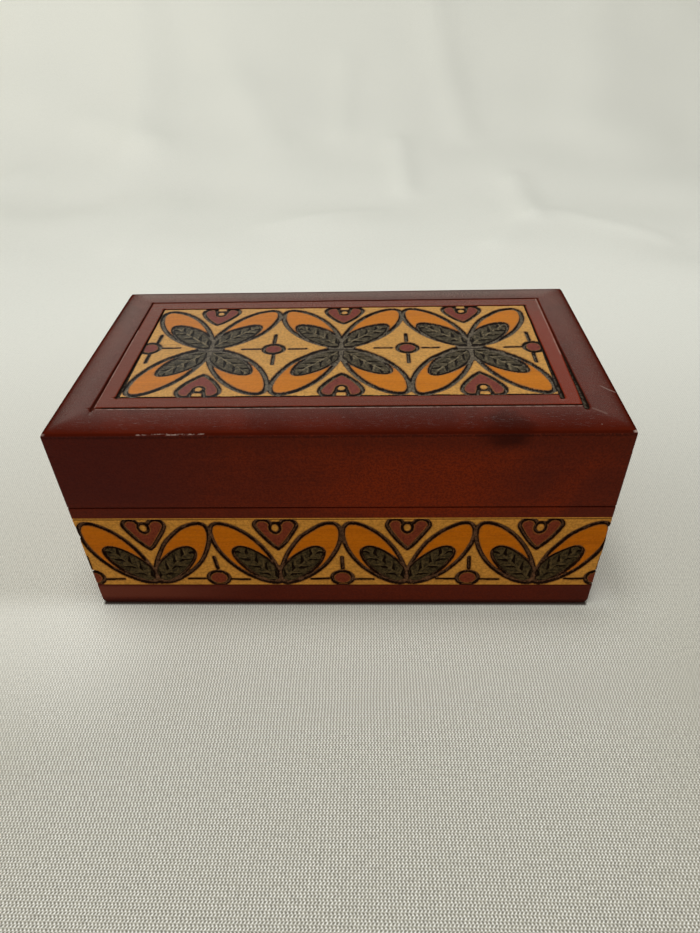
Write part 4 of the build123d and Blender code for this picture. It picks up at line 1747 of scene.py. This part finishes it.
def cloth_backdrop(material):
    """A cloth that lies under the box and rises behind it: a straight run, a quarter circle and a straight
    rise, carried from side to side, with soft folds lifted off it."""
    turn = np.linspace(0, np.pi / 2, 90)
    coarse = np.linspace(CLOTH_FRONT, CLOTH_FINE_FRONT, 20)[:-1]
    run = np.concatenate([coarse, np.linspace(CLOTH_FINE_FRONT, CLOTH_DEPTH, 170)[:-1]])
    rise = np.linspace(CLOTH_BEND, CLOTH_HEIGHT, 7)[1:]
    back = CLOTH_DEPTH + CLOTH_BEND
    bent = CLOTH_DEPTH + CLOTH_BEND * np.pi / 2
    y = np.concatenate([run, CLOTH_DEPTH + CLOTH_BEND * np.sin(turn), np.full(len(rise), back)])
    z = np.concatenate([np.zeros(len(run)), CLOTH_BEND * (1 - np.cos(turn)), rise])
    length = np.concatenate([run, CLOTH_DEPTH + CLOTH_BEND * turn, bent + rise - CLOTH_BEND])
    x = mirrored(graded(CLOTH_COLUMNS))
    grid_x, grid_y = np.meshgrid(x, y)
    grid_z, grid_length = np.meshgrid(x, z)[1], np.meshgrid(x, length)[1]
    lean = np.clip((grid_length - CLOTH_DEPTH) / CLOTH_BEND, 0, np.pi / 2)
    lift = folds(grid_x, grid_length)
    points = np.stack([grid_x, grid_y - lift * np.sin(lean), grid_z + lift * np.cos(lean)], -1)
    quads, _ = grid_quads(len(y), len(x))
    new_piece("studio_cloth", points.reshape(-1, 3), quads, [], {}, [material])


# Waves of the weave: turns per column, turns per row, starting angle in degrees, and share
STITCH_WIDTH, STITCH_LENGTH = 0.827, 1.25
WEAVE = (
    (1, 0, 0, 0.5),
    (1, -1, 160, 0.48),
    (1, 1, 20, 0.5),
    (0, 2, 0, 0.34),
    (1, -2, 80, 0.38),
    (1, 2, -70, 0.2),
)

# Where the cloth's look changes: places along X or Y between which each change sets in. All but the crisp
# ones place painted light and shade
CRISP_DEPTH = (25, -50)
CRISP_WIDTH = (115, 55)
FAR_CLOTH = (-150, 190)
WARM_LEFT = (60, -140)
DIM_REAR = ((-420, 60), (250, 580))
BRIGHT_RIGHT = ((87, 74), (0, 60), (-42, 60, 5))
BRIGHT_CORNER = ((-40, -82), (-100, -50), (-36, -48))
SHADE_IN_FRONT = ((-62, -43), (0, -30), (-84, -52), (84, 70))
WARM_WHITE = (1.0, 0.98, 0.9)
THREAD_WHITE = (1.0, 1.0, 0.96)
LIGHT_WHITE = (1.0, 1.0, 0.93)
PAINTED_CONTACT_SHADOW = (0.03, 0.015, 0.01)


def woven(finish):
    """Plain weave as a sum of waves that make slanted stitches in zigzag columns, from about -1.2 to 1.2.
    Its columns wander a little."""
    wide = finish.stray(finish.noise(0.05, 2.0, 0.6), 1.0)
    place = finish.sum(finish.x, finish.sum(wide, finish.stray(finish.noise(0.7, 2.0, 0.6), 0.22)))
    waves = []
    for columns, rows, angle, share in WEAVE:
        across = finish.times(place, 2 * math.pi * columns / STITCH_WIDTH)
        along = finish.times(finish.y, 2 * math.pi * rows / STITCH_LENGTH)
        turn = finish.sum(across, along, math.radians(angle))
        waves.append(finish.times(finish.math("COSINE", turn), share))
    return finish.sum(*waves)


def threads(finish):
    """A strength from 0.75 to 1.25 that changes at random from stitch to stitch."""
    size = (STITCH_WIDTH, STITCH_LENGTH / 2, 1.0)
    grid = finish.add("ShaderNodeVectorMath", {0: finish.place, 1: size}, operation="SNAP").outputs[0]
    random = finish.add("ShaderNodeTexWhiteNoise", {"Vector": grid}).outputs["Value"]
    return finish.sum(0.75, finish.times(random, 0.5))


def cloth_finish(studio):
    """The woven cloth, crisper in front, with painted light and shade: threads lit over shaded gaps, paler
    behind and at the left, dimmer at the rear right, brighter beside the box on the right and at its front
    left corner, shaded in front of it, and a black contact shadow right under it."""
    finish = Finish("studio_cloth")
    near, far_tone = studio.near_cloth, studio.far_cloth
    crisp = finish.times(
        finish.rise(finish.y, *CRISP_DEPTH), finish.rise(finish.size_of(finish.x), *CRISP_WIDTH), 0.7
    )
    weave = finish.times(woven(finish), finish.sum(0.3, crisp), threads(finish))
    fuzz = finish.noise(0.9, 4.0, 0.65)
    far = finish.rise(finish.y, *FAR_CLOTH)
    # Painted light: the cloth paler behind the box
    colour = finish.mixed(far, near, far_tone)
    # Painted light: paler towards the left
    colour = finish.mixed(finish.times(finish.rise(finish.x, *WARM_LEFT), 0.12), colour, WARM_WHITE)
    # Painted shade: dimmer at the rear right
    colour = finish.wash(colour, far_tone, 0.66, finish.area(*DIM_REAR))
    # Painted light and shade of the weave: the gaps darker, the threads' tops paler
    dark = finish.mixed(far, shaded(near, 0.3), shaded(far_tone, 0.79))
    gap = finish.times(finish.rise(weave, 1.3, -1.3), 0.9)
    gap = finish.sum(gap, finish.times(finish.rise(fuzz, 0.35, 0.75), 0.2))
    lit = finish.mixed(finish.times(finish.rise(weave, -0.2, 1.2), 0.95), colour, THREAD_WHITE)
    colour = finish.mixed(gap, lit, dark)

    # Painted light: brighter beside the box on the right and at its front left corner
    x_fall, x_rise, y_stretch = BRIGHT_RIGHT
    beside = finish.times(finish.between(finish.y, *y_stretch), finish.rise(finish.x, *x_fall))
    beside = finish.times(beside, finish.rise(finish.x, *x_rise))
    corner = finish.times(finish.area(*BRIGHT_CORNER[:2]), finish.rise(finish.y, *BRIGHT_CORNER[2]), 0.42)
    colour = finish.mixed(finish.times(finish.larger(beside, corner), 0.75), colour, LIGHT_WHITE)
    # Painted shade on the cloth in front of the box
    places = (finish.y, finish.y, finish.x, finish.x)
    front = finish.times(*(finish.rise(place, *ends) for place, ends in zip(places, SHADE_IN_FRONT)))
    colour = finish.wash(colour, near, 0.42, front, 0.25)
    # Painted contact shadow: black right under the box's foot
    under = finish.box_share(half_length - 0.3, half_width + 0.5, 0.4)
    colour = finish.mixed(finish.times(under, 0.94), colour, PAINTED_CONTACT_SHADOW)
    height = finish.sum(finish.times(weave, 0.03), finish.times(fuzz, 0.05))
    return finish.surface(colour, 0.9, height, **{"Specular IOR Level": 0.1})


LAMP_PLACE = (-60, -80, 1000)
LAMP_TARGET = (0, 0, 40)
LAMP_SIZE = 400
LAMP_COLOUR = (0.99, 1.0, 1.0)


def soft_light(power):
    """A large square soft light above, which faces the box."""
    data = bpy.data.lights.new("key_light", "AREA")
    data.shape = "SQUARE"
    data.size = LAMP_SIZE * MM
    data.energy = power
    data.color = LAMP_COLOUR
    light = bpy.data.objects.new("key_light", data)
    bpy.context.scene.collection.objects.link(light)
    light.location = Vector(LAMP_PLACE) * MM
    light.rotation_mode = "QUATERNION"
    light.rotation_quaternion = (Vector(LAMP_PLACE) - Vector(LAMP_TARGET)).to_track_quat("Z", "Y")


# The sky: its brightness at heights from the horizon up, its lean to one side, mean strength and tint
SKY_STEPS = ((0.0, 1.0), (0.42, 0.92), (0.6, 0.72), (0.72, 0.34), (0.9, 0.03))
SKY_LEAN = (-0.38, -0.2, 0.0)
SKY_MEAN = 0.75
SKY_TINT = (1.0, 0.965, 0.88)


def add_sky(studio):
    """Pale light from all round, brighter towards the left and the front, and dim overhead."""
    world = bpy.data.worlds.new("studio")
    world.use_nodes = True
    sky = Nodes(world.node_tree)
    direction = sky.add("ShaderNodeTexCoord", {}).outputs["Generated"]
    height = sky.add("ShaderNodeSeparateXYZ", {0: direction}).outputs[2]
    ramp = sky.add("ShaderNodeValToRGB", {0: height})
    steps = ramp.color_ramp.elements
    while len(steps) < len(SKY_STEPS):
        steps.new(0.5)
    for step, (place, level) in zip(steps, SKY_STEPS):
        step.position = place
        step.color = (*(level * channel for channel in SKY_TINT), 1.0)
    leaning = sky.add("ShaderNodeVectorMath", {0: direction, 1: SKY_LEAN}, operation="DOT_PRODUCT")
    strength = sky.times(sky.sum(leaning.outputs["Value"], SKY_MEAN), studio.sky)
    background = sky.add("ShaderNodeBackground", {"Color": ramp.outputs[0], "Strength": strength})
    sky.add("ShaderNodeOutputWorld", {"Surface": background.outputs[0]})
    bpy.context.scene.world = world


class StageOperator(bpy.types.Operator):
    """Add the camera, the cloth and the lights"""

    bl_idname = "trinket.stage"
    bl_label = "Stage"

    def execute(self, context):
        _, _, studio = settings()
        add_camera()
        cloth_backdrop(cloth_finish(studio))
        soft_light(studio.key_power)
        add_sky(studio)
        bpy.context.scene.view_settings.view_transform = "Standard"
        return {"FINISHED"}


class TrinketBoxPanel(bpy.types.Panel):
    """Lists the pieces and their settings"""

    bl_idname = "VIEW3D_PT_trinket_box"
    bl_label = "Trinket box"
    bl_space_type = "VIEW_3D"
    bl_region_type = "UI"
    bl_category = "Trinket box"

    def draw(self, context):
        for operator in OPERATORS:
            self.layout.operator(operator.bl_idname)
        for group in GROUPS:
            values = getattr(context.scene, group)
            for name in values.__annotations__:
                self.layout.prop(values, name)


OPERATORS = (LidTopOperator, BodyWallsOperator, PlainBoardsOperator, HingesOperator, StageOperator)
GROUPS = {
    "trinket_sizes": CarvingSizes,
    "trinket_colours": FinishColours,
    "trinket_studio": StudioSettings,
}


def register():
    """Registers the groups of properties, the operators and the panel."""
    for name, group in GROUPS.items():
        bpy.utils.register_class(group)
        setattr(bpy.types.Scene, name, bpy.props.PointerProperty(type=group))
    for item in (*OPERATORS, TrinketBoxPanel):
        bpy.utils.register_class(item)


def unregister():
    """Takes them all away again."""
    for item in reversed((*OPERATORS, TrinketBoxPanel)):
        bpy.utils.unregister_class(item)
    for name, group in GROUPS.items():
        delattr(bpy.types.Scene, name)
        bpy.utils.unregister_class(group)


def main():
    """Builds every piece and the stage."""
    register()
    bpy.ops.trinket.lid_top()
    bpy.ops.trinket.body_walls()
    bpy.ops.trinket.plain_boards()
    bpy.ops.trinket.hinges()
    bpy.ops.trinket.stage()


if __name__ == "__main__":
    main()
